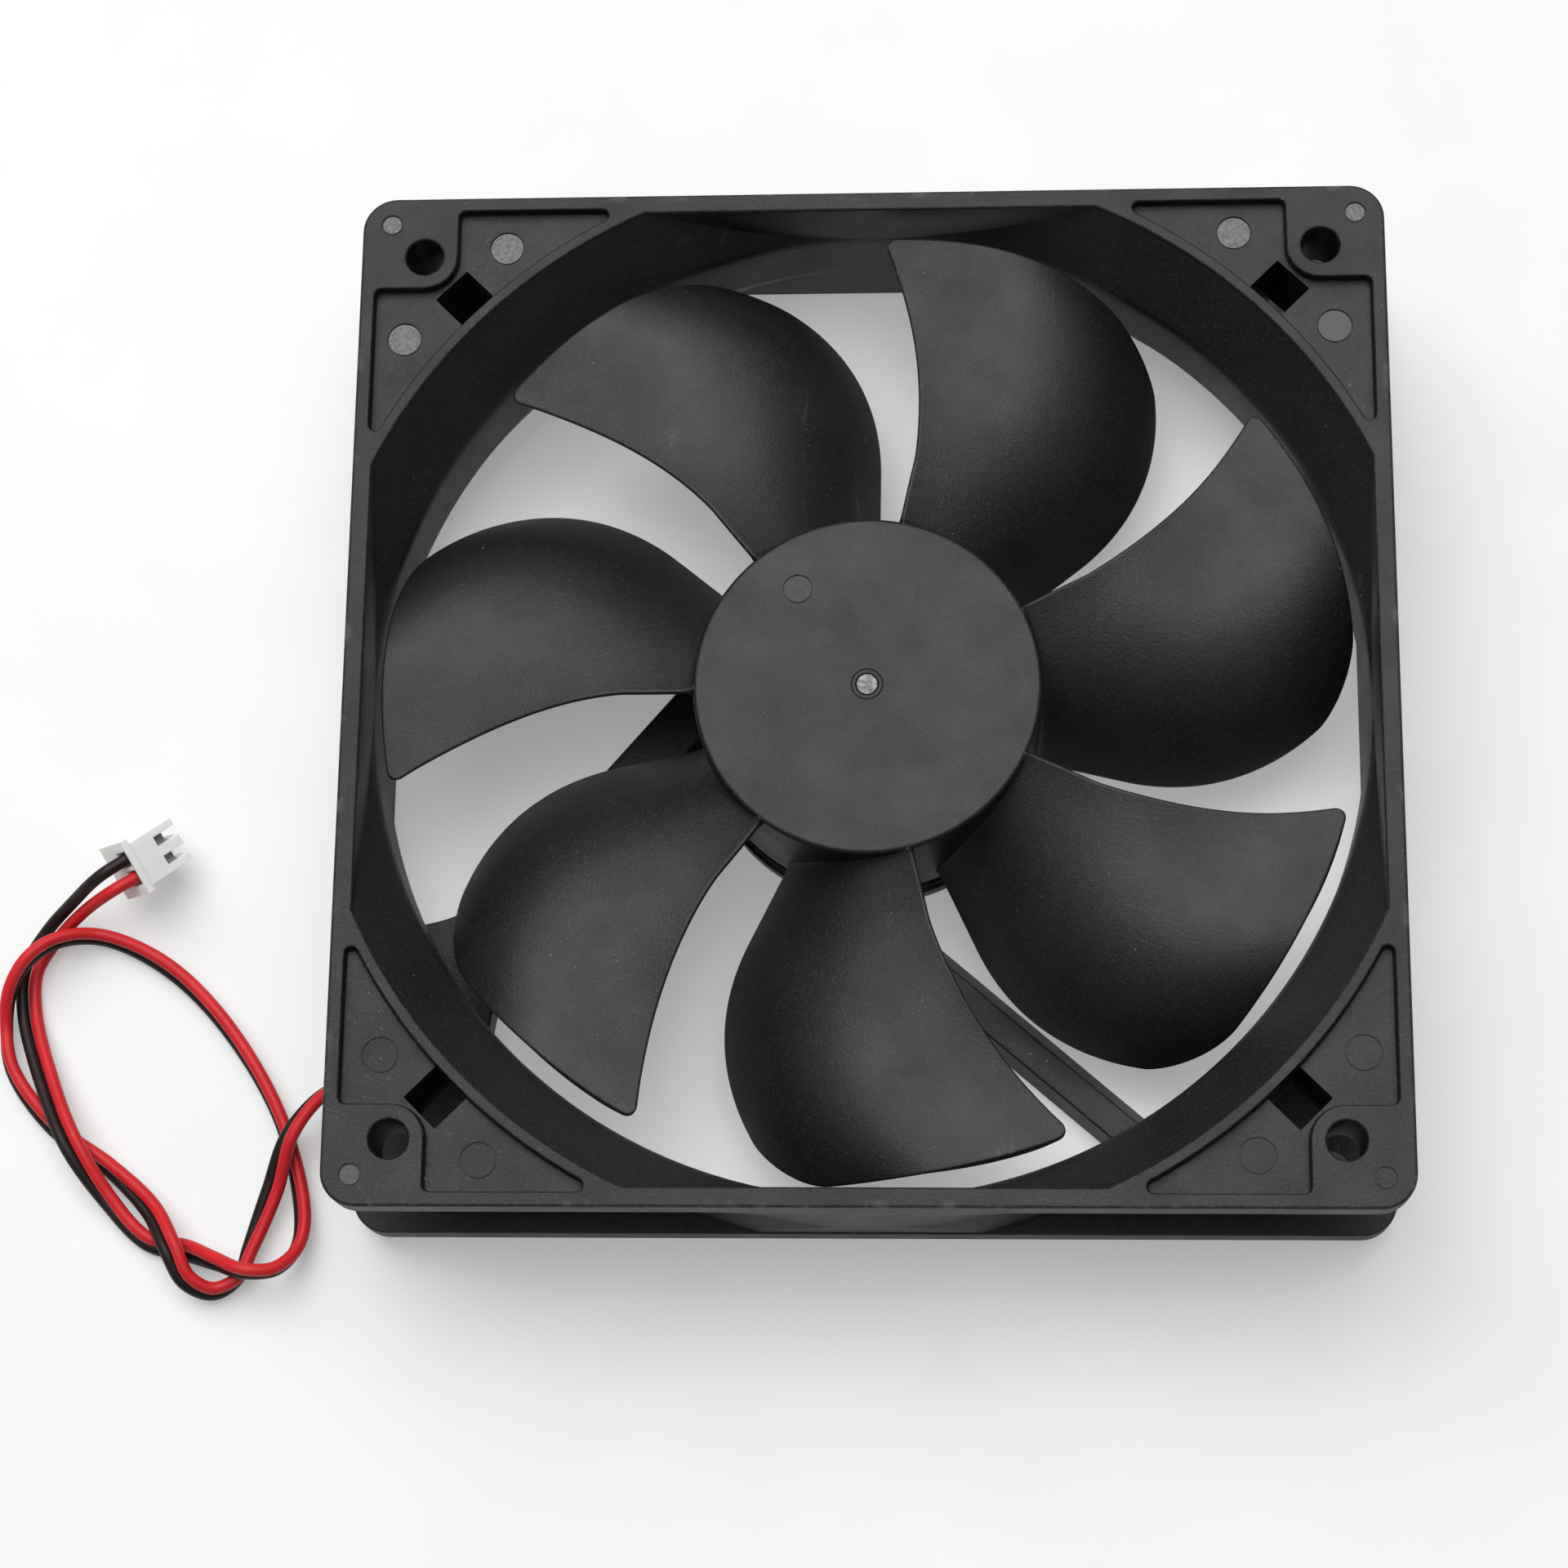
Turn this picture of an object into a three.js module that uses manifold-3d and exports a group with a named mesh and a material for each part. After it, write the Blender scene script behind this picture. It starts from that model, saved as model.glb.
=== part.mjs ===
// A 120 mm axial case fan: moulded frame, seven-blade impeller on a sleeve bearing,
// four-pole brushless motor in the hub, and a two-wire lead with its connector.
//
// Millimetres. The origin is the centre of the frame's rear face. +Z is the spin axis and
// points to the intake side, where the impeller's face shows. The frame lies on z = 0.

import * as THREE from "three";
import { mergeVertices } from "three/addons/utils/BufferGeometryUtils.js";
import Module from "manifold-3d";

const wasm = await Module();
wasm.setup();

// ---- driving dimensions ---------------------------------------------------------------

const GAP = 0.3; // left between pieces that touch on the real object

// Sides of the turned pieces
const DUCT_SIDES = 72;
const HUB_SIDES = 60;
const ROTOR_SIDES = 48;
const BORE_SIDES = 32;
const SMALL_SIDES = 24;

// Frame
const SIZE = 120;
const HALF = SIZE / 2;
const DEPTH = 25;
const FLANGE = 4; // thickness of the front and the rear flange
const CORNER_R = 4;
const HOLE_OFFSET = 52.5; // mounting holes on a 105 mm square
const HOLE_R = 2.2;
const DUCT_R = 57.6; // throat of the duct
const FRONT_MOUTH_R = 63.5; // before the flats cut the mouths
const REAR_MOUTH_R = 60.3;
const THROAT_LOW = 8;
const THROAT_HIGH = 16.5;
const DUCT_FLAT = 57.7; // the four flats that cut the duct short of the sides
const DUCT_WALL = 2.2;

// Recesses in the front face, one at each corner
const POCKET_FLOOR = 23.6;
const POCKET_OUTER = 58.3;
const POCKET_INNER_R = 64.9;
const BOSS_R = 3.95; // the material that stays round each mounting hole
const BOSS_LOW = 15.5; // a tube under the front flange carries the screw down to here
const SLOT_CENTRE = 47.6; // the small square hole, turned 45 degrees
const SLOT_SIDE = 5.1;
const SOCKET_LOW = 12; // the slot goes on down through a square socket
const SOCKET_WALL = 1;
const SOCKET_REACH = 8.5; // from the slot's centre to inside the duct wall

// Struts behind the blades, in a pinwheel
const STRUT_TURN = 229.5; // direction of the strut that carries the wires, degrees
const STRUT_OFFSET = 17.5; // its wires run this far from the centre
const STRUT_HEIGHT = 4;
const STRUT_START = 4;
const STRUT_REACH = 60.6;
// Across a strut: its two edges at the rear face, then the same two on top.
const PLAIN_SECTION = { rear: [-19.9, -14.3], top: [-19.2, -15.9] };
const WIRE_SECTION = { rear: [-21.9, -13.3], top: [-21.1, -15.3] };
const CHANNEL_WIDTH = 3.8;
const CHANNEL_DEPTH = 2.2;
const CHANNEL_END = 58;
const WALL_SLOT_TOP = 7; // the slot that lets the wires out through the duct wall

// Motor base, a shallow cup at the middle of the rear face
const BASE_R = 20.3;
const BASE_INNER_R = 17.8;
const BASE_FLOOR = 1.8;
const BASE_TOP = 4.5;
const LABEL_R = 18.5;
const LABEL_DEPTH = 0.3;
const PLUG_HOLE_R = 3.6;

// Bearing parts, inside the tube that stands on the motor base
const TUBE_R = 5;
const TUBE_BORE_R = 4;
const TUBE_LOW = 1.5;
const TUBE_TOP = 17.5;
const SHAFT_R = 1.5;
const BEARING_BORE_R = 1.56; // runs on the shaft
const BEARING_R = 3.7;
const BEARING_LOW = 5;
const BEARING_TOP = 14.5;
const BEARING_CHAMFER = 0.4;
const WASHER_R = 3.5;
const WASHER_DEPTH = 0.4;
const LOWER_WASHER_Z = 4.1;
const UPPER_WASHER_Z = 16.3;
const SEAL_LOW = 14.9;
const SEAL_TOP = 15.9;

// Stator
const CORE_R = 14.6;
const CORE_BORE_R = 5.3;
const CORE_RING_R = 6.6;
const CORE_LOW = 9.5;
const CORE_HIGH = 16.5;
const TOOTH_HALF = 2;
const SHOE_R = 12.4;
const POLES = 4;
const POLE_GAP = 14; // degrees between one pole shoe and the next
const INSULATOR = 0.8;
const COIL_IN = 7;
const COIL_OUT = 11.4;
const COIL_HALF = 4.1;
const COIL_LOW = 6.3;
const COIL_HIGH = 19.7;

// Circuit board
const BOARD_R = 14;
const BOARD_HOLE_R = 5.4;
const BOARD_LOW = 3.6;
const BOARD_TOP = 4.8;
const POST_R = 0.4;
const POST_HOLE_R = 0.75;
const POST_RING_R = 12.6;
const POST_TURNS = [225, 315, 45];
const CHIP = { ring: 11.6, turn: 135, size: [1.6, 4, 2.4], lift: GAP };
const CAPACITOR = { ring: 8.6, turn: 250, size: [1.2, 2, 0.9], lift: 0.15 };
const DIODE = { ring: 8.6, turn: 20, size: [1.6, 2.6, 1], lift: 0.15 };

// Impeller and the rotor parts inside its hub
const HUB_R = 19.9;
const HUB_INNER_R = 18.3;
const HUB_FACE = 23.4;
const HUB_LOW = 5.5;
const HUB_SKIN = 1.6;
const BLADES = 7;
const BLADE_TIP_R = 56;
const BLADE_ROOT_R = 18.9;
const BLADE_THICKNESS = 1.8;
const LEAD_CORNER_R = 1.8;
const TRAIL_CORNER_R = 5;
const YOKE_R = 18;
const YOKE_INNER_R = 17;
const YOKE_HOLE_R = 4.3;
const YOKE_LOW = 6.5;
const YOKE_SKIN = 0.8;
const MAGNET_R = 16.7;
const MAGNET_INNER_R = 15.2;
const MAGNET_LOW = 8;
const MAGNET_TOP = 18;
const SHAFT_LOW = 2.4;
const SHAFT_TOP = 20.9;
const GROOVE_R = 1.1; // for the snap ring
const GROOVE_LOW = 3;
const GROOVE_TOP = 3.8;
const SNAP_RING_R = 2.9;
const SNAP_RING_GAP = 1.4;
const SHAFT_BOSS_R = 4;
const SHAFT_BOSS_LOW = 18.1;
const SHAFT_BOSS_TOP = 21.5;

// Wires
const WIRE_R = 0.75;
const WIRE_SIDES = 8;
const WIRE_STEPS = 72;
const HELD_STEPS = 24;
const PAIR_HALF = 0.78; // half the distance between the two bonded wires
const PAIR_CLEARANCE = 0.04;

// Connector: centre of its rear face, and its turn as it lies on the table
const CONNECTOR_AT = [-88.6, -17.6, 6.9];
const CONNECTOR_YAW = 45.6;
const CONNECTOR_PITCH = 29.6;
const CONNECTOR_ROLL = 30;
const PITCH_HALF = 1.25; // contacts are 2.5 mm apart
const WIRE_ROW = 1.36; // height of the wires above the connector's axis
const CONNECTOR_FLANGE = { length: 0.9, halfWidth: 3.5, halfHeight: 2.8 };
const CONNECTOR_BODY = { length: 7.3, halfWidth: 2.8, halfHeight: 2.75 };
const CONTACT = { from: 1.4, to: 5.7, half: 0.62, bore: 0.35 };

// The free pair, from the slot in the duct wall to the connector: x, y, z of its centre
// line, its roll in degrees, and half the spacing of the two wires.
const LEAD_ROUTE = [
  [-53.0, -35.1, 3.4, 176, PAIR_HALF],
  [-55.0, -37.3, 4.75, 165, PAIR_HALF],
  [-57.8, -40.2, 5.7, 132, PAIR_HALF],
  [-60.8, -42.4, 5.6, 108, PAIR_HALF],
  [-64.6, -44.6, 4.8, 112, PAIR_HALF],
  [-67.7, -48.8, 4.6, 128, PAIR_HALF],
  [-69.8, -54.8, 2.5, 150, PAIR_HALF],
  [-72.3, -61.6, 1.56, 122, PAIR_HALF],
  [-73.5, -64.9, 1.6, 100, PAIR_HALF],
  [-76.3, -66.6, 2.1, 72, PAIR_HALF],
  [-79.2, -65.4, 3.5, 46, PAIR_HALF],
  [-81.1, -61.8, 4.5, 28, PAIR_HALF],
  [-84.0, -57.2, 2.6, 36, PAIR_HALF],
  [-89.4, -52.2, 1.56, 60, PAIR_HALF],
  [-96.7, -47.1, 1.56, 63, PAIR_HALF],
  [-101.9, -40.4, 1.56, 70, PAIR_HALF],
  [-102.9, -35.2, 1.8, 77, PAIR_HALF],
  [-102.2, -31.2, 3.6, 84, PAIR_HALF],
  [-99.9, -27.6, 4.7, 89, PAIR_HALF],
  [-96.7, -25.2, 3.7, 95, PAIR_HALF],
  [-92.0, -24.5, 1.75, 102, PAIR_HALF],
  [-84.3, -27.9, 1.56, 113, PAIR_HALF],
  [-76.7, -35.0, 1.56, 111, PAIR_HALF],
  [-69.4, -46.5, 1.56, 107, PAIR_HALF],
  [-66.3, -57.8, 1.6, 120, PAIR_HALF],
  [-66.7, -61.7, 2.4, 108, PAIR_HALF],
  [-68.8, -64.2, 4.0, 92, PAIR_HALF],
  [-72.2, -64.6, 5.0, 80, PAIR_HALF],
  [-75.8, -63.3, 3.5, 68, PAIR_HALF],
  [-79.8, -61.8, 1.6, 50, PAIR_HALF],
  [-84.5, -60.7, 1.56, 60, PAIR_HALF],
  [-89.4, -55.8, 2.5, 50, PAIR_HALF],
  [-93.4, -49.9, 4.6, 18, PAIR_HALF],
  [-97.0, -42.8, 3.1, 10, PAIR_HALF],
  [-100.4, -33.6, 1.1, 0, PAIR_HALF],
  [-100.6, -28.4, 0.95, -8, PAIR_HALF],
  [-98.3, -24.3, 1.4, -20, 0.8],
  [-94.6, -21.5, 4.4, -30, 0.85],
  [-90.4, -19.4, 8.0, -30, 1.15],
  [-87.46, -17.41, 7.73, -30, PITCH_HALF],
];

// ---- materials ------------------------------------------------------------------------

function material(color, roughness, metalness = 0) {
  return new THREE.MeshStandardMaterial({ color, roughness, metalness });
}

const FINISH = {
  blackPlastic: material(0x1c1c1d, 0.62),
  copper: material(0xb0642c, 0.35, 0.9),
  brass: material(0xc2a04f, 0.3, 1),
  bronze: material(0x9a6a3c, 0.5, 0.9),
  steel: material(0xa9abad, 0.3, 1),
  zincSteel: material(0x85888b, 0.4, 1),
  ferrite: material(0x2a2a2b, 0.7),
  board: material(0x2c6a3c, 0.5),
  chip: material(0x151516, 0.45),
  ceramic: material(0xb08a5c, 0.5),
  nylon: material(0xd8d4c4, 0.5),
  felt: material(0x8a8478, 0.95),
  rubber: material(0x222222, 0.85),
  label: material(0xc9cccd, 0.35, 0.4),
  redWire: material(0xb81f22, 0.4),
  blackWire: material(0x2a1c1c, 0.45),
  whitePlastic: material(0xeceae4, 0.45),
  tin: material(0xb9b7b0, 0.35, 1),
};

// ---- solids ---------------------------------------------------------------------------

const radians = THREE.MathUtils.degToRad;

function solid(geometry) {
  geometry.deleteAttribute("normal");
  geometry.deleteAttribute("uv");
  const merged = mergeVertices(geometry, 1e-4);
  return new wasm.Manifold(
    new wasm.Mesh({
      numProp: 3,
      vertProperties: merged.attributes.position.array,
      triVerts: new Uint32Array(merged.index.array),
    }),
  );
}

function geometryOf(manifold) {
  const mesh = manifold.getMesh();
  const geometry = new THREE.BufferGeometry();
  geometry.setAttribute("position", new THREE.BufferAttribute(mesh.vertProperties, 3));
  geometry.setIndex(new THREE.BufferAttribute(mesh.triVerts, 1));
  geometry.computeVertexNormals();
  return geometry;
}

function box(x0, x1, y0, y1, z0, z1) {
  const geometry = new THREE.BoxGeometry(x1 - x0, y1 - y0, z1 - z0);
  return solid(geometry.translate((x0 + x1) / 2, (y0 + y1) / 2, (z0 + z1) / 2));
}

// A profile of [radius, z] points turned about the Z axis.
function turned(points, sides) {
  const profile = points.map(([r, z]) => new THREE.Vector2(r, z));
  if (points[0][0] > 0) profile.push(profile[0].clone());
  return solid(new THREE.LatheGeometry(profile, sides).rotateX(Math.PI / 2));
}

function disc(radius, z0, z1, sides) {
  return turned([[0, z0], [radius, z0], [radius, z1], [0, z1]], sides);
}

function ring(inner, outer, z0, z1, sides) {
  return turned([[inner, z0], [outer, z0], [outer, z1], [inner, z1]], sides);
}

function extruded(shape, z0, z1, curveSegments = 6) {
  const options = { depth: z1 - z0, bevelEnabled: false, curveSegments };
  return solid(new THREE.ExtrudeGeometry(shape, options).translate(0, 0, z0));
}

function roundedSquare(half, radius) {
  const shape = new THREE.Shape();
  const corners = [[1, 1], [-1, 1], [-1, -1], [1, -1]];
  corners.forEach(([sx, sy], quarter) => {
    const start = (quarter * Math.PI) / 2;
    const inset = half - radius;
    shape.absarc(sx * inset, sy * inset, radius, start, start + Math.PI / 2, false);
  });
  return shape;
}

function all(solids) {
  return solids.reduce((sum, next) => sum.add(next));
}

function around(count, make, first = 0) {
  return Array.from({ length: count }, (_, i) => make().rotate([0, 0, first + (i * 360) / count]));
}

// ---- frame ----------------------------------------------------------------------------

// The duct narrows from both mouths to the throat; grow = 0 is its inside.
function ductSolid(grow, flat) {
  const rear = REAR_MOUTH_R + grow;
  const front = FRONT_MOUTH_R + grow;
  const throat = DUCT_R + grow;
  const over = grow > 0 ? 0 : 1; // the inside cut runs past both faces
  const turn = turned([
    [0, -over],
    [rear, -over],
    [rear, 0],
    [throat, THROAT_LOW],
    [throat, THROAT_HIGH],
    [front, DEPTH],
    [front, DEPTH + over],
    [0, DEPTH + over],
  ], DUCT_SIDES);
  return turn.intersect(box(-flat, flat, -flat, flat, -over, DEPTH + over));
}

function cornerPocket() {
  const lobes = box(28, POCKET_OUTER, 28, POCKET_OUTER, POCKET_FLOOR, DEPTH + 1);
  const boss = new THREE.Shape();
  const near = HOLE_OFFSET - BOSS_R;
  boss.moveTo(HALF, near);
  boss.lineTo(HALF, HALF);
  boss.lineTo(near, HALF);
  boss.lineTo(near, HOLE_OFFSET);
  boss.absarc(HOLE_OFFSET, HOLE_OFFSET, BOSS_R, Math.PI, Math.PI * 1.5, false);
  const lip = disc(POCKET_INNER_R, 0, DEPTH + 2, DUCT_SIDES);
  return lobes.subtract(extruded(boss, POCKET_FLOOR - 1, DEPTH + 2)).subtract(lip);
}

function cornerCuts() {
  const hole = disc(HOLE_R, -1, DEPTH + 1, SMALL_SIDES).translate([HOLE_OFFSET, HOLE_OFFSET, 0]);
  const half = SLOT_SIDE / 2;
  const slot = box(-half, half, -half, half, SOCKET_LOW - 1, DEPTH)
    .rotate([0, 0, 45])
    .translate([SLOT_CENTRE, SLOT_CENTRE, 0]);
  return all([cornerPocket(), hole, slot]);
}

function slotSocket() {
  const half = SLOT_SIDE / 2 + SOCKET_WALL;
  return box(-SOCKET_REACH, half, -half, half, SOCKET_LOW, DEPTH - FLANGE + 1)
    .rotate([0, 0, 45])
    .translate([SLOT_CENTRE, SLOT_CENTRE, 0]);
}

function screwBoss() {
  return disc(BOSS_R, BOSS_LOW, DEPTH - FLANGE + 1, SMALL_SIDES)
    .translate([HOLE_OFFSET, HOLE_OFFSET, 0]);
}

// A strut lies along X at y = -STRUT_OFFSET, wider at the rear face than on top.
function strut(wide) {
  const shape = new THREE.Shape();
  const { rear, top } = wide ? WIRE_SECTION : PLAIN_SECTION;
  shape.moveTo(rear[0], 0);
  shape.lineTo(rear[1], 0);
  shape.lineTo(top[1], STRUT_HEIGHT);
  shape.lineTo(top[0], STRUT_HEIGHT);
  const along = extruded(shape, STRUT_START, STRUT_REACH);
  return along.rotate([90, 0, 90]);
}

// The wide strut spreads where it meets the duct wall.
function strutFoot() {
  const shape = new THREE.Shape();
  shape.moveTo(48, -13.4);
  shape.quadraticCurveTo(54, -13.6, 58, -9.5);
  shape.lineTo(61, -13);
  shape.lineTo(57.5, -27.5);
  shape.lineTo(54.5, -27.2);
  shape.quadraticCurveTo(53, -22.2, 46, -21.8);
  return extruded(shape, 0, STRUT_HEIGHT, 5);
}

function wireChannel() {
  const side = CHANNEL_WIDTH / 2;
  const middle = -STRUT_OFFSET;
  const groove = box(-1, CHANNEL_END, middle - side, middle + side, -1, CHANNEL_DEPTH);
  const window = box(-3.5, 4.5, middle, -9.5, -1, BASE_FLOOR + 1);
  const wallSlot = box(56.5, 66.5, middle - side, middle + side, -1, WALL_SLOT_TOP);
  return all([groove, window, wallSlot]);
}

function frameHousing() {
  const outline = roundedSquare(HALF, CORNER_R);
  const rear = extruded(outline, 0, FLANGE);
  const front = extruded(outline, DEPTH - FLANGE, DEPTH);
  const cup = disc(BASE_R, 0, BASE_TOP, HUB_SIDES);
  const wires = (piece) => piece.rotate([0, 0, STRUT_TURN]);
  const struts = [0, 90, 180, 270].map((turn) => wires(strut(turn === 0)).rotate([0, 0, turn]));

  return all([rear, front, ductSolid(DUCT_WALL, HALF), ...around(4, slotSocket)])
    .subtract(ductSolid(0, DUCT_FLAT))
    .add(all([cup, wires(strutFoot()), ...struts, ...around(4, screwBoss)]))
    .subtract(all(around(4, cornerCuts)))
    .subtract(disc(BASE_INNER_R, BASE_FLOOR, BASE_TOP + 1, HUB_SIDES))
    .subtract(disc(LABEL_R, -1, LABEL_DEPTH, ROTOR_SIDES))
    .subtract(disc(PLUG_HOLE_R, -1, BASE_FLOOR + 1, SMALL_SIDES))
    .subtract(disc(TUBE_R + GAP, TUBE_LOW - GAP, BASE_TOP, BORE_SIDES))
    .subtract(wires(wireChannel()));
}

function rearLabel() {
  return disc(LABEL_R - 0.5, 0.02, LABEL_DEPTH - 0.1, ROTOR_SIDES);
}

function rubberPlug() {
  return disc(PLUG_HOLE_R - GAP, LABEL_DEPTH + 0.15, BASE_FLOOR + 0.1, SMALL_SIDES);
}

// ---- bearing --------------------------------------------------------------------------

function bearingTube() {
  return ring(TUBE_BORE_R, TUBE_R, TUBE_LOW, TUBE_TOP, BORE_SIDES);
}

function sleeveBearing() {
  return turned([
    [BEARING_BORE_R, BEARING_LOW],
    [BEARING_R - BEARING_CHAMFER, BEARING_LOW],
    [BEARING_R, BEARING_LOW + BEARING_CHAMFER],
    [BEARING_R, BEARING_TOP - BEARING_CHAMFER],
    [BEARING_R - BEARING_CHAMFER, BEARING_TOP],
    [BEARING_BORE_R, BEARING_TOP],
  ], BORE_SIDES);
}

function washer(z) {
  return ring(SHAFT_R + 0.25, WASHER_R, z, z + WASHER_DEPTH, SMALL_SIDES);
}

function oilSealRing() {
  return ring(SHAFT_R + 0.4, BEARING_R, SEAL_LOW, SEAL_TOP, SMALL_SIDES);
}

// ---- stator ---------------------------------------------------------------------------

// The stamped outline of a four-pole lamination: ring, teeth and pole shoes.
function poleStar(z0, z1, shrink) {
  const shoeHalf = 90 - POLE_GAP / 2 - 45;
  const teeth = around(POLES, () => {
    const half = TOOTH_HALF - shrink;
    return box(CORE_BORE_R + 0.6, SHOE_R + 0.6, -half, half, z0, z1);
  });
  const shoes = ring(SHOE_R + shrink, CORE_R - shrink, z0, z1, ROTOR_SIDES);
  const cutHalf = radians(45 - shoeHalf) * CORE_R + shrink;
  const gaps = around(POLES, () => box(9, CORE_R + 1, -cutHalf, cutHalf, z0 - 1, z1 + 1), 45);
  const collar = ring(CORE_BORE_R, CORE_RING_R - shrink / 2, z0, z1, BORE_SIDES);
  return all([collar, ...teeth, shoes.subtract(all(gaps))]);
}

function windingCoil() {
  const inner = TOOTH_HALF + GAP;
  const outside = box(COIL_IN, COIL_OUT, -COIL_HALF, COIL_HALF, COIL_LOW, COIL_HIGH);
  const low = CORE_LOW - GAP - INSULATOR - GAP;
  const high = CORE_HIGH + GAP + INSULATOR + GAP;
  const opening = box(COIL_IN - 1, COIL_OUT + 1, -inner, inner, low, high);
  const bevel = 1.1;
  const corner = box(-20, 20, -bevel, bevel, -bevel, bevel).rotate([45, 0, 0]);
  const corners = [[1, COIL_LOW], [-1, COIL_LOW], [1, COIL_HIGH], [-1, COIL_HIGH]];
  const trims = corners.map(([side, z]) => corner.translate([0, side * (COIL_HALF + 0.3), z]));
  return outside.subtract(opening).subtract(all(trims));
}

// ---- circuit board --------------------------------------------------------------------

function atTurn(piece, radius, degrees) {
  return piece.translate([radius, 0, 0]).rotate([0, 0, degrees]);
}

function circuitBoard() {
  const holes = POST_TURNS.map((turn) => {
    return atTurn(disc(POST_HOLE_R, BOARD_LOW - 1, BOARD_TOP + 1, 8), POST_RING_R, turn);
  });
  return ring(BOARD_HOLE_R, BOARD_R, BOARD_LOW, BOARD_TOP, ROTOR_SIDES).subtract(all(holes));
}

function windingPost(turn) {
  const top = CORE_LOW - GAP - INSULATOR - GAP;
  return atTurn(disc(POST_R, BOARD_LOW - 0.7, top, 8), POST_RING_R, turn);
}

function boardPart({ ring: radius, turn, size: [x, y, z], lift }) {
  const low = BOARD_TOP + lift;
  return atTurn(box(-x / 2, x / 2, -y / 2, y / 2, low, low + z), radius, turn);
}

// ---- rotor ----------------------------------------------------------------------------

// Angles of the blade's two edges, in degrees, at a radius.
function leadAngle(r) {
  const sweep = 9.2 * Math.pow(Math.max(0, (r - 28) / 28), 1.4);
  return 27.9 + sweep + 0.1 * Math.max(0, 28 - r);
}

function trailAngle(r) {
  return -13.46 + 17.5 * Math.pow(Math.max(0, (r - 30.5) / 25.5), 1.9);
}

// Height of the blade's middle surface; s runs from the trailing edge to the leading one.
function bladeHeight(r, s) {
  const outward = THREE.MathUtils.smoothstep(r, 30, 50);
  const lead = THREE.MathUtils.lerp(22.3, 19.9, outward);
  const trail = THREE.MathUtils.lerp(8.3, 8.8, outward);
  const crown = THREE.MathUtils.lerp(3, 6.6, THREE.MathUtils.smoothstep(r, 20, 54));
  return THREE.MathUtils.lerp(trail, lead, s) + crown * 4 * s * (1 - s) * (1.5 - s);
}

// How far a corner of radius c pulls the tip in, at a distance d from the blade's edge.
function cornerInset(d, c) {
  const inside = Math.max(0, c - d);
  return c - Math.sqrt(Math.max(0, c * c - inside * inside));
}

function bladePoint(a, s, side) {
  const chord = radians(leadAngle(BLADE_TIP_R) - trailAngle(BLADE_TIP_R)) * BLADE_TIP_R;
  const inset = cornerInset(s * chord, TRAIL_CORNER_R) + cornerInset((1 - s) * chord, LEAD_CORNER_R);
  const r = THREE.MathUtils.lerp(BLADE_ROOT_R, BLADE_TIP_R - inset, a);
  const angleAt = (t) => radians(THREE.MathUtils.lerp(trailAngle(r), leadAngle(r), t));
  const step = 0.01;
  const along = (angleAt(s + step) - angleAt(s - step)) * r;
  const rise = bladeHeight(r, s + step) - bladeHeight(r, s - step);
  const length = Math.hypot(along, rise);
  const edge = Math.min(1, 8 * Math.min(s, 1 - s));
  const half = ((0.6 + 0.4 * edge) * BLADE_THICKNESS * side) / 2;
  const angle = angleAt(s) - (half * rise) / (length * r);
  const z = bladeHeight(r, s) + (half * along) / length;
  return new THREE.Vector3(r * Math.cos(angle), r * Math.sin(angle), z);
}

function blade() {
  const geometry = new THREE.BoxGeometry(1, 1, 1, 6, 10, 1);
  const position = geometry.attributes.position;
  const eased = (t) => t - Math.sin(2 * Math.PI * t) / (2.4 * Math.PI); // finer at the edges
  for (let i = 0; i < position.count; i += 1) {
    const a = position.getX(i) + 0.5;
    const s = eased(position.getY(i) + 0.5);
    const point = bladePoint(a, s, position.getZ(i) * 2);
    position.setXYZ(i, point.x, point.y, point.z);
  }
  return solid(geometry);
}

function impeller() {
  const cup = turned([
    [0, HUB_FACE - 0.1],
    [1.2, HUB_FACE - 0.1],
    [1.4, HUB_FACE - 0.3],
    [1.7, HUB_FACE - 0.3],
    [1.8, HUB_FACE],
    [HUB_R - 0.5, HUB_FACE],
    [HUB_R, HUB_FACE - 0.5],
    [HUB_R, HUB_LOW],
    [HUB_INNER_R, HUB_LOW],
    [HUB_INNER_R, HUB_FACE - HUB_SKIN],
    [0, HUB_FACE - HUB_SKIN],
  ].reverse(), HUB_SIDES);
  return all([cup, ...around(BLADES, blade)]);
}

function rotorYoke() {
  const top = HUB_FACE - HUB_SKIN - GAP;
  return turned([
    [YOKE_HOLE_R, top - YOKE_SKIN],
    [YOKE_INNER_R, top - YOKE_SKIN],
    [YOKE_INNER_R, YOKE_LOW],
    [YOKE_R, YOKE_LOW],
    [YOKE_R, top],
    [YOKE_HOLE_R, top],
  ], ROTOR_SIDES);
}

function ringMagnet() {
  return ring(MAGNET_INNER_R, MAGNET_R, MAGNET_LOW, MAGNET_TOP, ROTOR_SIDES);
}

function rotorShaft() {
  return turned([
    [0, SHAFT_LOW],
    [SHAFT_R - 0.4, SHAFT_LOW],
    [SHAFT_R, SHAFT_LOW + 0.4],
    [SHAFT_R, GROOVE_LOW],
    [GROOVE_R, GROOVE_LOW],
    [GROOVE_R, GROOVE_TOP],
    [SHAFT_R, GROOVE_TOP],
    [SHAFT_R, SHAFT_TOP - 0.3],
    [SHAFT_R - 0.3, SHAFT_TOP],
    [0, SHAFT_TOP],
  ], BORE_SIDES);
}

function shaftBoss() {
  return turned([
    [SHAFT_R + GAP, SHAFT_BOSS_LOW],
    [SHAFT_BOSS_R - 0.4, SHAFT_BOSS_LOW],
    [SHAFT_BOSS_R, SHAFT_BOSS_LOW + 0.4],
    [SHAFT_BOSS_R, SHAFT_BOSS_TOP],
    [SHAFT_R + GAP, SHAFT_BOSS_TOP],
  ], SMALL_SIDES);
}

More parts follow.
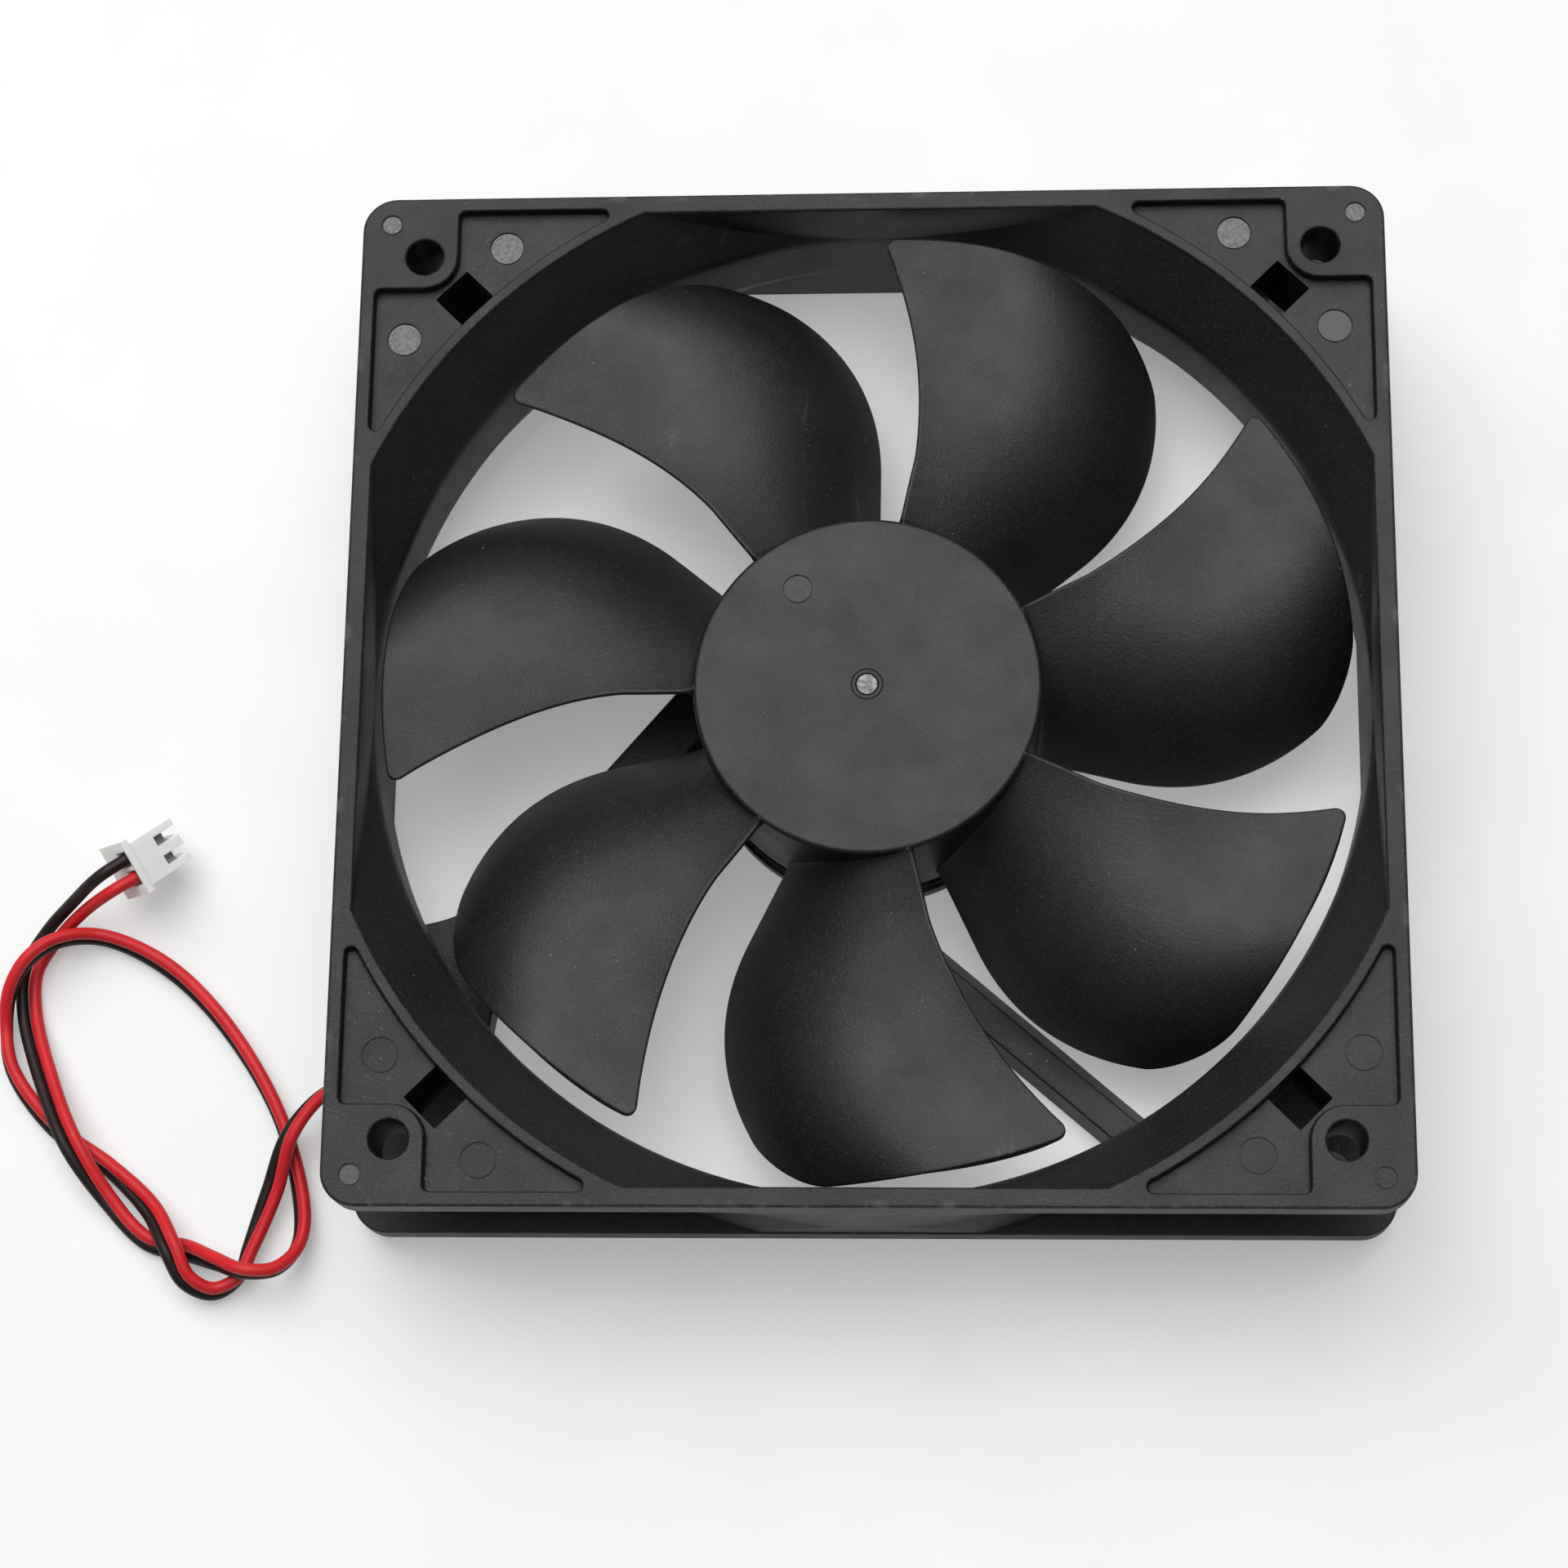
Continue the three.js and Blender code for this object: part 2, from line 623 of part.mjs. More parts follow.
function snapRing() {
  const low = GROOVE_LOW + 0.25;
  const high = GROOVE_TOP - 0.25;
  const half = SNAP_RING_GAP / 2;
  const whole = ring(GROOVE_R + 0.1, SNAP_RING_R, low, high, SMALL_SIDES);
  return whole.subtract(box(0, SNAP_RING_R + 1, -half, half, low - 1, high + 1));
}

// ---- wires ----------------------------------------------------------------------------

// One wire of the pair. Both wires take their stations from the middle line, so that they
// stay side by side through every bend.
class PairWire extends THREE.Curve {
  constructor(route, side) {
    super();
    const middle = route.map(([x, y, z]) => new THREE.Vector3(x, y, z));
    this.middle = new THREE.CatmullRomCurve3(middle);
    this.middle.arcLengthDivisions = 2000;
    const lay = route.map(([, , , roll, half]) => new THREE.Vector3(roll, half, 0));
    this.lay = new THREE.CatmullRomCurve3(lay, false, "catmullrom", 0.5);
    this.side = side;
  }

  getUtoTmapping(u) {
    return u;
  }

  getPoint(u) {
    const t = this.middle.getUtoTmapping(u);
    const { x: roll, y: half } = this.lay.getPoint(t);
    const forward = this.middle.getTangent(t);
    const right = new THREE.Vector3(forward.y, -forward.x, 0).normalize();
    const up = new THREE.Vector3().crossVectors(right, forward);
    const turn = radians(roll);
    return this.middle.getPoint(t)
      .addScaledVector(right, this.side * half * Math.cos(turn))
      .addScaledVector(up, this.side * half * Math.sin(turn));
  }
}

function wireGeometry(route, side, steps) {
  const section = new THREE.Shape();
  for (let i = 0; i < WIRE_SIDES; i += 1) {
    const turn = ((i + 0.5) * 2 * Math.PI) / WIRE_SIDES;
    const radius = WIRE_R - PAIR_CLEARANCE;
    const point = [radius * Math.cos(turn), radius * Math.sin(turn)];
    if (i === 0) section.moveTo(...point);
    else section.lineTo(...point);
  }
  const path = new PairWire(route, side);
  return geometryOf(solid(new THREE.ExtrudeGeometry(section, { steps, extrudePath: path })));
}

// The stretch held in the frame: from the board, down into the channel and along it.
function heldRoute() {
  const turn = radians(STRUT_TURN);
  const place = (along, across, z, roll) => {
    const x = along * Math.cos(turn) - across * Math.sin(turn);
    const y = along * Math.sin(turn) + across * Math.cos(turn);
    return [x, y, z, roll, PAIR_HALF];
  };
  return [
    place(-1.8, -11.8, 2.5, 180),
    place(-1.4, -13.8, 1.6, 180),
    place(0.4, -16.2, 1.25, 180),
    place(4.4, -17.5, 1.25, 180),
    place(20, -17.5, 1.25, 180),
    place(38, -17.5, 1.25, 180),
    place(53, -17.5, 1.25, 180),
    place(57.5, -17.5, 1.7, 179),
    place(60.8, -17.5, 3.25, 177),
  ];
}

// ---- connector ------------------------------------------------------------------------

// Local frame: +X to the mating end, +Z to the face with the two windows.
function connectorHousing() {
  const slab = (x0, { length, halfWidth, halfHeight }) => {
    return box(x0, length, -halfWidth, halfWidth, -halfHeight, halfHeight);
  };
  const flange = slab(0, CONNECTOR_FLANGE);
  const body = slab(CONNECTOR_FLANGE.length, CONNECTOR_BODY);
  const cuts = [PITCH_HALF, -PITCH_HALF].flatMap((y) => [
    box(-1, 6.2, y - 1, y + 1, 0.3, 2.45),
    box(4.1, 8.5, y - 0.6, y + 0.6, 1.4, 4),
    box(5.6, 8.5, y - 0.5, y + 0.5, -1.6, 1.5),
  ]);
  return all([flange, body]).subtract(all(cuts));
}

function crimpContact(y) {
  const tube = (from, to, half) => {
    return box(from, to, y - half, y + half, WIRE_ROW - half, WIRE_ROW + half);
  };
  const { from, to, half, bore } = CONTACT;
  return tube(from, to, half).subtract(tube(from - 1, to + 1, bore));
}

// ---- assembly -------------------------------------------------------------------------

function piece(name, geometry, finish) {
  const mesh = new THREE.Mesh(geometry, finish);
  mesh.name = name;
  return mesh;
}

function made(name, manifold, finish) {
  return piece(name, geometryOf(manifold), finish);
}

function frameGroup() {
  const group = new THREE.Group();
  group.add(made("frame_housing", frameHousing(), FINISH.blackPlastic));
  group.add(made("rear_label", rearLabel(), FINISH.label));
  group.add(made("rubber_plug", rubberPlug(), FINISH.rubber));
  group.add(made("bearing_tube", bearingTube(), FINISH.brass));
  group.add(made("sleeve_bearing", sleeveBearing(), FINISH.bronze));
  group.add(made("lower_washer", washer(LOWER_WASHER_Z), FINISH.nylon));
  group.add(made("upper_washer", washer(UPPER_WASHER_Z), FINISH.nylon));
  group.add(made("oil_seal_ring", oilSealRing(), FINISH.felt));
  return group;
}

function statorGroup() {
  const group = new THREE.Group();
  const lowTop = CORE_LOW - GAP;
  const highLow = CORE_HIGH + GAP;
  const low = poleStar(lowTop - INSULATOR, lowTop, 0.3);
  const high = poleStar(highLow, highLow + INSULATOR, 0.3);
  group.add(made("stator_core", poleStar(CORE_LOW, CORE_HIGH, 0), FINISH.zincSteel));
  group.add(made("lower_insulator", low, FINISH.nylon));
  group.add(made("upper_insulator", high, FINISH.nylon));
  for (let i = 0; i < POLES; i += 1) {
    const coil = made(`winding_coil_${i + 1}`, windingCoil(), FINISH.copper);
    coil.rotation.z = (i * 2 * Math.PI) / POLES;
    group.add(coil);
  }
  POST_TURNS.forEach((turn, i) => {
    group.add(made(`winding_post_${i + 1}`, windingPost(turn), FINISH.tin));
  });
  group.add(made("circuit_board", circuitBoard(), FINISH.board));
  group.add(made("driver_chip", boardPart(CHIP), FINISH.chip));
  group.add(made("filter_capacitor", boardPart(CAPACITOR), FINISH.ceramic));
  group.add(made("protection_diode", boardPart(DIODE), FINISH.chip));
  return group;
}

function rotorGroup() {
  const group = new THREE.Group();
  group.add(made("impeller", impeller(), FINISH.blackPlastic));
  group.add(made("rotor_yoke", rotorYoke(), FINISH.zincSteel));
  group.add(made("ring_magnet", ringMagnet(), FINISH.ferrite));
  group.add(made("rotor_shaft", rotorShaft(), FINISH.steel));
  group.add(made("shaft_boss", shaftBoss(), FINISH.brass));
  group.add(made("snap_ring", snapRing(), FINISH.steel));
  return group;
}

function wireGroup() {
  const group = new THREE.Group();
  const held = heldRoute();
  group.add(piece("red_lead_held", wireGeometry(held, 1, HELD_STEPS), FINISH.redWire));
  group.add(piece("black_lead_held", wireGeometry(held, -1, HELD_STEPS), FINISH.blackWire));
  group.add(piece("red_lead", wireGeometry(LEAD_ROUTE, 1, WIRE_STEPS), FINISH.redWire));
  group.add(piece("black_lead", wireGeometry(LEAD_ROUTE, -1, WIRE_STEPS), FINISH.blackWire));
  return group;
}

function connectorGroup() {
  const group = new THREE.Group();
  group.position.set(...CONNECTOR_AT);
  const turns = [CONNECTOR_ROLL, CONNECTOR_PITCH, CONNECTOR_YAW].map(radians);
  group.rotation.set(...turns, "ZYX");
  group.add(made("connector_housing", connectorHousing(), FINISH.whitePlastic));
  group.add(made("crimp_contact_black", crimpContact(PITCH_HALF), FINISH.tin));
  group.add(made("crimp_contact_red", crimpContact(-PITCH_HALF), FINISH.tin));
  return group;
}

const caseFan = new THREE.Group();
caseFan.add(frameGroup(), statorGroup(), rotorGroup(), wireGroup(), connectorGroup());

export default caseFan;
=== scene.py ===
"""The looks of a 120 mm case fan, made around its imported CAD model.

Lengths are millimetres until a mesh or a wire is finished, which brings it to metres. Lights
and the floor are in metres. The fan lies on its rear face at z = 0, with +Z towards the
impeller's face.
"""

import math

import bmesh
import bpy
import numpy as np
from mathutils import Matrix, Vector


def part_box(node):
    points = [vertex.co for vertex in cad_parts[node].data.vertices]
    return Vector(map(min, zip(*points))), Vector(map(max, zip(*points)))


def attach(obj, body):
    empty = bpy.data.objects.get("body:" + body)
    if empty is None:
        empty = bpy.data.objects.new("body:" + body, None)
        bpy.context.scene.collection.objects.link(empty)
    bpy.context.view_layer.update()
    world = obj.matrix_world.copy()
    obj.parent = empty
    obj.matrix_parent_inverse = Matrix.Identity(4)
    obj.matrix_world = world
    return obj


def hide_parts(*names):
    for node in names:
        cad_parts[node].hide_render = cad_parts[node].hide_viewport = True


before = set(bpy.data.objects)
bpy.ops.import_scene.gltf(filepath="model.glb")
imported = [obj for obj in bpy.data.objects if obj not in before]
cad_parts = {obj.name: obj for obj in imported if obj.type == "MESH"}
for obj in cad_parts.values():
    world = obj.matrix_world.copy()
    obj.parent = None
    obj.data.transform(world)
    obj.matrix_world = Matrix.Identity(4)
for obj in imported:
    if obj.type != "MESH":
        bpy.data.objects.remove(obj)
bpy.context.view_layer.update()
MM = 0.001


# ---- driving sizes, as in the CAD model -------------------------------------------------

def box_mm(node):
    low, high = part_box(node)
    return low / MM, high / MM


HOUSING_HIGH = box_mm("frame_housing")[1]
IMPELLER_LOW, IMPELLER_HIGH = box_mm("impeller")
LABEL_LOW, LABEL_HIGH = box_mm("rear_label")

HALF = HOUSING_HIGH.x
DEPTH = HOUSING_HIGH.z
FLANGE = 4.0
CORNER_R = 4.0
HOLE_OFFSET = 52.5
HOLE_R = 2.2
DUCT_R = 57.6
FRONT_MOUTH_R = 63.5
REAR_MOUTH_R = 60.3
THROAT_LOW = 8.0
THROAT_HIGH = 16.5
DUCT_FLAT = 57.7
DUCT_WALL = 2.2
WALL_SET_BACK = 0.25  # of the duct's outside from the flanges' edges

POCKET_FLOOR = 23.6
POCKET_OUTER = 58.3
POCKET_INNER_R = 64.9
BOSS_R = 3.95
BOSS_LOW = 15.5
SLOT_CENTRE = 47.6
SLOT_SIDE = 5.1
SOCKET_LOW = 12.0
SOCKET_WALL = 1.0
SOCKET_REACH = 8.5
POCKET_TIP_MARGIN = 3.6  # degrees that its inner arc leaves for a rounded tip
EJECTOR_SPOTS = [(54.0, 42.9, 2.1), (42.6, 54.7, 2.1)]  # x, y and radius
CORNER_SPOT = (56.6, 56.5, 1.3)
SPOT_DEPTH = 0.03
SPOT_GROOVE = 0.2  # width and depth of the groove round a spot
SPOT_TOLERANCE = 0.02  # in the height of a spot's floor
WORN_WIDTH = 1.1  # of the front face's rubbed outer edge
QUARTERS = (0, 90, 180, 270)

STRUT_TURN = 229.5
STRUT_OFFSET = 17.5
STRUT_WIDE = (-21.9, -21.1, -15.3, -13.3)  # across it: foot, top, top and foot
STRUT_NARROW = (-19.9, -19.2, -15.9, -14.3)
STRUT_HEIGHT = 4.0
STRUT_START = 4
STRUT_REACH = 60.6
CHANNEL_WIDTH = 3.8
CHANNEL_DEPTH = 2.2
BASE_R = 20.3
BASE_INNER_R = 17.8
BASE_FLOOR = 1.8
BASE_TOP = 4.5
LABEL_R = 18.5
LABEL_DEPTH = 0.3
PLUG_HOLE_R = 3.6
TUBE_SEAT_R = 5.3
TUBE_SEAT_LOW = 1.2
RIM_SLITS = (236, 291)  # directions, in degrees
SLIT_WIDTH = 0.28
SLIT_LOW = 3.2
ROUND_SIDES = 128  # of the motor base and what is cut into it

HUB_R = 19.9
HUB_INNER_R = 18.3
HUB_FACE = IMPELLER_HIGH.z
HUB_LOW = IMPELLER_LOW.z
HUB_SKIN = 1.6
BLADES = 7
BLADE_TIP_R = 56.0
BLADE_ROOT_R = 18.9
BLADE_THICKNESS = 1.8
BLADE_EDGE_R = 0.26
BLADE_THINNING = 1.2  # taken off underneath at the leading and trailing edges
BLADE_THINNED = 0.125  # share of the chord over which it is taken off
ROOT_FLARE = 0.35
ROOT_FLARE_REACH = 0.4
HUB_EDGE_R = 0.55
HUB_SPOT = (-8.0, 11.4, 1.75)
GATE_R = 1.16
LEAD_CORNER_R = 1.8
TRAIL_CORNER_R = 5.0

WIRE_R = 0.75
WIRE_STEPS = 14  # from one point of a route to the next
PAIR_HALF = 0.78
PITCH_HALF = 1.25
CONNECTOR_AT = (-88.6, -17.6, 6.9)
CONNECTOR_TURN = (30.0, 29.6, 45.6)  # roll, pitch and yaw
COIL_LAYERS = 4
COIL_TURNS = 9  # in each layer
COIL_PITCH = 0.44  # from one layer to the next
COIL_WIRE_R = 0.2
COIL_INNER = 7.3
COIL_OUTER = 11.1

LEAD_ROUTE = [  # x, y, z, roll in degrees and half the wires' spacing
    (-53.0, -35.1, 3.4, 176, PAIR_HALF),
    (-55.0, -37.3, 4.75, 165, PAIR_HALF),
    (-57.8, -40.2, 5.7, 132, PAIR_HALF),
    (-60.8, -42.4, 5.6, 108, PAIR_HALF),
    (-64.6, -44.6, 4.8, 112, PAIR_HALF),
    (-67.7, -48.8, 4.6, 128, PAIR_HALF),
    (-69.8, -54.8, 2.5, 150, PAIR_HALF),
    (-72.3, -61.6, 1.56, 122, PAIR_HALF),
    (-73.5, -64.9, 1.6, 100, PAIR_HALF),
    (-76.3, -66.6, 2.1, 72, PAIR_HALF),
    (-79.2, -65.4, 3.5, 46, PAIR_HALF),
    (-81.1, -61.8, 4.5, 28, PAIR_HALF),
    (-84.0, -57.2, 2.6, 36, PAIR_HALF),
    (-89.4, -52.2, 1.56, 60, PAIR_HALF),
    (-96.7, -47.1, 1.56, 63, PAIR_HALF),
    (-101.9, -40.4, 1.56, 70, PAIR_HALF),
    (-102.9, -35.2, 1.8, 77, PAIR_HALF),
    (-102.2, -31.2, 3.6, 84, PAIR_HALF),
    (-99.9, -27.6, 4.7, 89, PAIR_HALF),
    (-96.7, -25.2, 3.7, 95, PAIR_HALF),
    (-92.0, -24.5, 1.75, 102, PAIR_HALF),
    (-84.3, -27.9, 1.56, 113, PAIR_HALF),
    (-76.7, -35.0, 1.56, 111, PAIR_HALF),
    (-69.4, -46.5, 1.56, 107, PAIR_HALF),
    (-66.3, -57.8, 1.6, 120, PAIR_HALF),
    (-66.7, -61.7, 2.4, 108, PAIR_HALF),
    (-68.8, -64.2, 4.0, 92, PAIR_HALF),
    (-72.2, -64.6, 5.0, 80, PAIR_HALF),
    (-75.8, -63.3, 3.5, 68, PAIR_HALF),
    (-79.8, -61.8, 1.6, 50, PAIR_HALF),
    (-84.5, -60.7, 1.56, 60, PAIR_HALF),
    (-89.4, -55.8, 2.5, 50, PAIR_HALF),
    (-93.4, -49.9, 4.6, 18, PAIR_HALF),
    (-97.0, -42.8, 3.1, 10, PAIR_HALF),
    (-100.4, -33.6, 1.1, 0, PAIR_HALF),
    (-100.6, -28.4, 0.95, -8, PAIR_HALF),
    (-98.3, -24.3, 1.4, -20, 0.8),
    (-94.6, -21.5, 4.4, -30, 0.85),
    (-90.4, -19.4, 8.0, -30, 1.15),
    (-87.46, -17.41, 7.73, -30, PITCH_HALF),
]

HELD_ROUTE = [  # along the strut, across it, z and roll
    (-1.8, -11.8, 2.5, 180),
    (-1.4, -13.8, 1.6, 180),
    (0.4, -16.2, 1.25, 180),
    (4.4, -17.5, 1.25, 180),
    (20, -17.5, 1.25, 180),
    (38, -17.5, 1.25, 180),
    (53, -17.5, 1.25, 180),
    (57.5, -17.5, 1.7, 179),
    (60.95, -17.5, 3.32, 177),
]


# ---- camera, lights and floor -----------------------------------------------------------

CAMERA_PLACE = (15.42, -115.31, 405.37)
CAMERA_TURN = (15.183, 3.518, 0.687)  # degrees about X, Y and Z
CAMERA_LENS = 80.58  # on a sensor 36 mm wide
WINDOW_SIDE = (-0.02, 0.33, 0.94)
WINDOW_GLOW = [  # the cosine of the angle from the window's middle, and the brightness there
    (0.0, 0.2), (0.4, 0.08), (0.7, 0.15), (0.89, 1.5), (0.975, 4.0),
]
SKY_TINT = (0.985, 0.995, 1)
SOFTBOX_PLACE = (-0.5, 0.6, 0.8)
SOFTBOX_SIDE = 0.8
SOFTBOX_POWER = 6
FLOOR_GLOW = 0.3
FLOOR_HALF = 6
FLOOR_DROP = 0.0001  # below the fan's rear face, so that the two don't flicker


def add_camera():
    data = bpy.data.cameras.new("camera")
    data.lens = CAMERA_LENS
    data.sensor_width = 36
    data.clip_start = 0.01
    camera = bpy.data.objects.new("camera", data)
    camera.location = Vector(CAMERA_PLACE) * MM
    camera.rotation_euler = [math.radians(a) for a in CAMERA_TURN]
    bpy.context.scene.collection.objects.link(camera)
    bpy.context.scene.camera = camera


def add_softbox():
    """A weak lamp to the upper left, aimed at the fan and not seen in its gloss."""
    data = bpy.data.lights.new("softbox", "AREA")
    data.size = SOFTBOX_SIDE
    data.energy = SOFTBOX_POWER
    light = bpy.data.objects.new("softbox", data)
    light.visible_glossy = False
    light.location = SOFTBOX_PLACE
    light.rotation_euler = (-Vector(SOFTBOX_PLACE)).to_track_quat("-Z", "Y").to_euler()
    bpy.context.scene.collection.objects.link(light)


def add_room():
    """A dim room that brightens towards a soft window overhead."""
    world = bpy.data.worlds.new("studio")
    world.use_nodes = True
    tree = world.node_tree
    towards = tree.nodes.new("ShaderNodeTexCoord").outputs["Generated"]
    dot = tree.nodes.new("ShaderNodeVectorMath")
    dot.operation = "DOT_PRODUCT"
    dot.inputs[1].default_value = Vector(WINDOW_SIDE).normalized()
    ramp = tree.nodes.new("ShaderNodeValToRGB")
    elements = ramp.color_ramp.elements
    while len(elements) < len(WINDOW_GLOW):
        elements.new(0.5)
    for element, (position, value) in zip(elements, WINDOW_GLOW):
        element.position = position
        element.color = (*(value * tint for tint in SKY_TINT), 1)
    tree.links.new(towards, dot.inputs[0])
    tree.links.new(dot.outputs["Value"], ramp.inputs["Fac"])
    tree.links.new(ramp.outputs["Color"], tree.nodes["Background"].inputs["Color"])
    bpy.context.scene.world = world
    bpy.context.scene.view_settings.view_transform = "Standard"


# ---- node helpers -----------------------------------------------------------------------

class Material:
    """A node material: a Principled shader and short calls that add what feeds it."""

    def __init__(self, name, metallic=0.0):
        self.material = bpy.data.materials.new(name)
        self.material.use_nodes = True
        self.tree = self.material.node_tree
        self.shader = self.tree.nodes["Principled BSDF"]
        self.place = self.add("ShaderNodeTexCoord").outputs["Object"]
        self.shader.inputs["Metallic"].default_value = metallic

    def add(self, kind, **settings):
        node = self.tree.nodes.new(kind)
        for key, value in settings.items():
            setattr(node, key, value)
        return node

    def link(self, source, target):
        self.tree.links.new(source, target)

    def noise(self, scale, detail=3.0, roughness=0.55, place=None):
        node = self.add("ShaderNodeTexNoise")
        self.link(place or self.place, node.inputs["Vector"])
        node.inputs["Scale"].default_value = scale
        node.inputs["Detail"].default_value = detail
        node.inputs["Roughness"].default_value = roughness
        return node.outputs["Fac"]

    def stretched(self, factors):
        node = self.add("ShaderNodeMapping")
        self.link(self.place, node.inputs["Vector"])
        node.inputs["Scale"].default_value = factors
        return node.outputs["Vector"]

    def few(self, scale, start, most):
        """A mask of scattered soft patches."""
        return self.ramp(self.noise(scale, detail=2), (start, 0.0), (start + 0.12, most))

    def rim_mask(self, start, most):
        """A mask of the front face's outer edge, from a square of this half side outwards."""
        split = self.add("ShaderNodeSeparateXYZ")
        self.link(self.place, split.inputs[0])
        x, y = (self.math("ABSOLUTE", split.outputs[axis], 0) for axis in "XY")
        out = self.math("DIVIDE", self.math("MAXIMUM", x, y), HALF * MM)
        high = self.math("DIVIDE", split.outputs["Z"], DEPTH * MM)
        outer = self.ramp(out, (start / HALF, 0.0), (1.0, most))
        return self.math("MULTIPLY", outer, self.ramp(high, (0.965, 0.0), (0.985, 1.0)))

    def ramp(self, source, *stops):
        node = self.add("ShaderNodeValToRGB")
        self.link(source, node.inputs["Fac"])
        elements = node.color_ramp.elements
        while len(elements) < len(stops):
            elements.new(0.5)
        for element, (position, value) in zip(elements, stops):
            element.position = position
            color = value if isinstance(value, (tuple, list)) else (value,) * 3
            element.color = (*color, 1)
        return node.outputs["Color"]

    def math(self, operation, a, b):
        node = self.add("ShaderNodeMath", operation=operation)
        for socket, value in zip(node.inputs, (a, b)):
            if isinstance(value, (int, float)):
                socket.default_value = value
            else:
                self.link(value, socket)
        return node.outputs[0]

    def mix(self, factor, a, b):
        node = self.add("ShaderNodeMix", data_type="RGBA")
        for socket, value in ((node.inputs[0], factor), (node.inputs[6], a), (node.inputs[7], b)):
            if isinstance(value, (tuple, list)):
                socket.default_value = (*value, 1)
            elif isinstance(value, (int, float)):
                socket.default_value = value
            else:
                self.link(value, socket)
        return node.outputs[2]

    def bump(self, height, distance, strength=1.0, under=None):
        node = self.add("ShaderNodeBump")
        node.inputs["Strength"].default_value = strength
        node.inputs["Distance"].default_value = distance
        self.link(height, node.inputs["Height"])
        if under is not None:
            self.link(under, node.inputs["Normal"])
        return node.outputs["Normal"]

    def feed(self, socket, source):
        self.link(source, self.shader.inputs[socket])

    def vary(self, socket, source, low, high, start=0.3):
        """Feeds a socket with low to high over the middle of a noise's range."""
        self.feed(socket, self.ramp(source, (start, low), (0.7, high)))


def moulded_plastic(name, base, grain, grain_depth, shine, worn=0.0):
    """Black moulded plastic: sandy grain, flow marks, uneven gloss, scuffs, dust, worn edges."""
    m = Material(name)
    bright = tuple(c * 1.35 for c in base)
    cloud = m.ramp(m.noise(38, detail=4), (0.35, base), (0.7, bright))
    sand = m.noise(grain, detail=3, roughness=0.65)
    tone = m.mix(m.ramp(sand, (0.5, 0.0), (0.7, 0.3)), cloud, (0.05, 0.05, 0.052))
    drawn = m.noise(260, detail=9, roughness=0.78, place=m.stretched((1, 0.18, 1)))
    scuffs = m.math("MULTIPLY", m.ramp(drawn, (0.61, 0.0), (0.7, 1.0)), m.few(45, 0.5, 0.6))
    marked = m.mix(scuffs, tone, (0.07, 0.07, 0.07))
    patches = m.ramp(m.noise(300, detail=7), (0.56, 0.0), (0.68, 1.0))
    rubbed = m.math("MULTIPLY", m.rim_mask(HALF - WORN_WIDTH, worn), patches)
    marked = m.mix(rubbed, marked, (0.085, 0.085, 0.085))
    dust = m.ramp(m.noise(2600, detail=1), (0.75, 0.0), (0.8, 1.0))
    dust = m.math("MULTIPLY", dust, m.few(60, 0.52, 0.7))
    m.feed("Base Color", m.mix(dust, marked, (0.25, 0.25, 0.25)))
    m.vary("Roughness", m.noise(150, detail=5), shine - 0.06, shine + 0.06)
    wide = m.bump(m.noise(220, detail=2), 0.02 * MM, 0.35)
    m.feed("Normal", m.bump(sand, grain_depth * MM, under=wide))
    return m.material


def pin_mark(name, smooth, grit_colour, shine):
    """The round marks that a mould's pins leave: smoother than the grain round them, and scuffed. A
    paler grit colour also paints in sheen where a mark catches the window.
    """
    m = Material(name)
    grit = m.ramp(m.noise(2000, detail=6, roughness=0.78), (0.42, 0.0), (0.62, 1.0))
    m.feed("Base Color", m.mix(grit, (smooth,) * 3, (grit_colour,) * 3))
    m.feed("Roughness", m.ramp(grit, (0.0, shine), (1.0, shine + 0.14)))
    m.feed("Normal", m.bump(m.noise(1500, detail=4), 0.03 * MM))
    return m.material


def insulation(name, base, bright, roughness):
    """Smooth PVC over stranded wire, with the strands' faint waves."""
    m = Material(name)
    m.shader.inputs["Specular IOR Level"].default_value = 0.3
    m.vary("Base Color", m.noise(180, detail=4), base, bright, start=0.35)
    m.vary("Roughness", m.noise(700, detail=3), roughness - 0.06, roughness + 0.08)
    m.feed("Normal", m.bump(m.noise(900, detail=2), 0.03 * MM, 0.5))
    return m.material


def white_nylon(name):
    """Milky moulded nylon, which lets a little light in."""
    m = Material(name)
    m.shader.inputs["Subsurface Weight"].default_value = 0.25
    m.shader.inputs["Subsurface Radius"].default_value = (1.2 * MM, 1.1 * MM, 0.9 * MM)
    m.shader.inputs["Subsurface Scale"].default_value = 1.0
    m.vary("Base Color", m.noise(260, detail=4), (0.86, 0.85, 0.83), (0.93, 0.92, 0.9))
    m.vary("Roughness", m.noise(900, detail=3), 0.36, 0.5)
    m.feed("Normal", m.bump(m.noise(1800, detail=3), 0.015 * MM, 0.6))
    return m.material


def metal(name, base, bright, roughness, lay=(1, 1, 1), marks=900):
    """Bare or plated metal; lay stretches its fine marks along an axis."""
    m = Material(name, metallic=1.0)
    brushed = m.noise(marks, detail=4, place=m.stretched(lay))
    m.vary("Base Color", m.noise(120, detail=3), base, bright)
    m.vary("Roughness", brushed, roughness, roughness + 0.16)
    m.feed("Normal", m.bump(brushed, 0.01 * MM, 0.5))
    return m.material


def dull(name, base, bright, roughness, grain, depth):
    """Rubber, felt, ferrite, ceramic and moulded nylon."""
    m = Material(name)
    m.vary("Base Color", m.noise(grain * 0.3, detail=4), base, bright)
    m.vary("Roughness", m.noise(grain, detail=2), roughness - 0.07, roughness + 0.07)
    m.feed("Normal", m.bump(m.noise(grain, detail=4), depth * MM, 0.8))
    return m.material


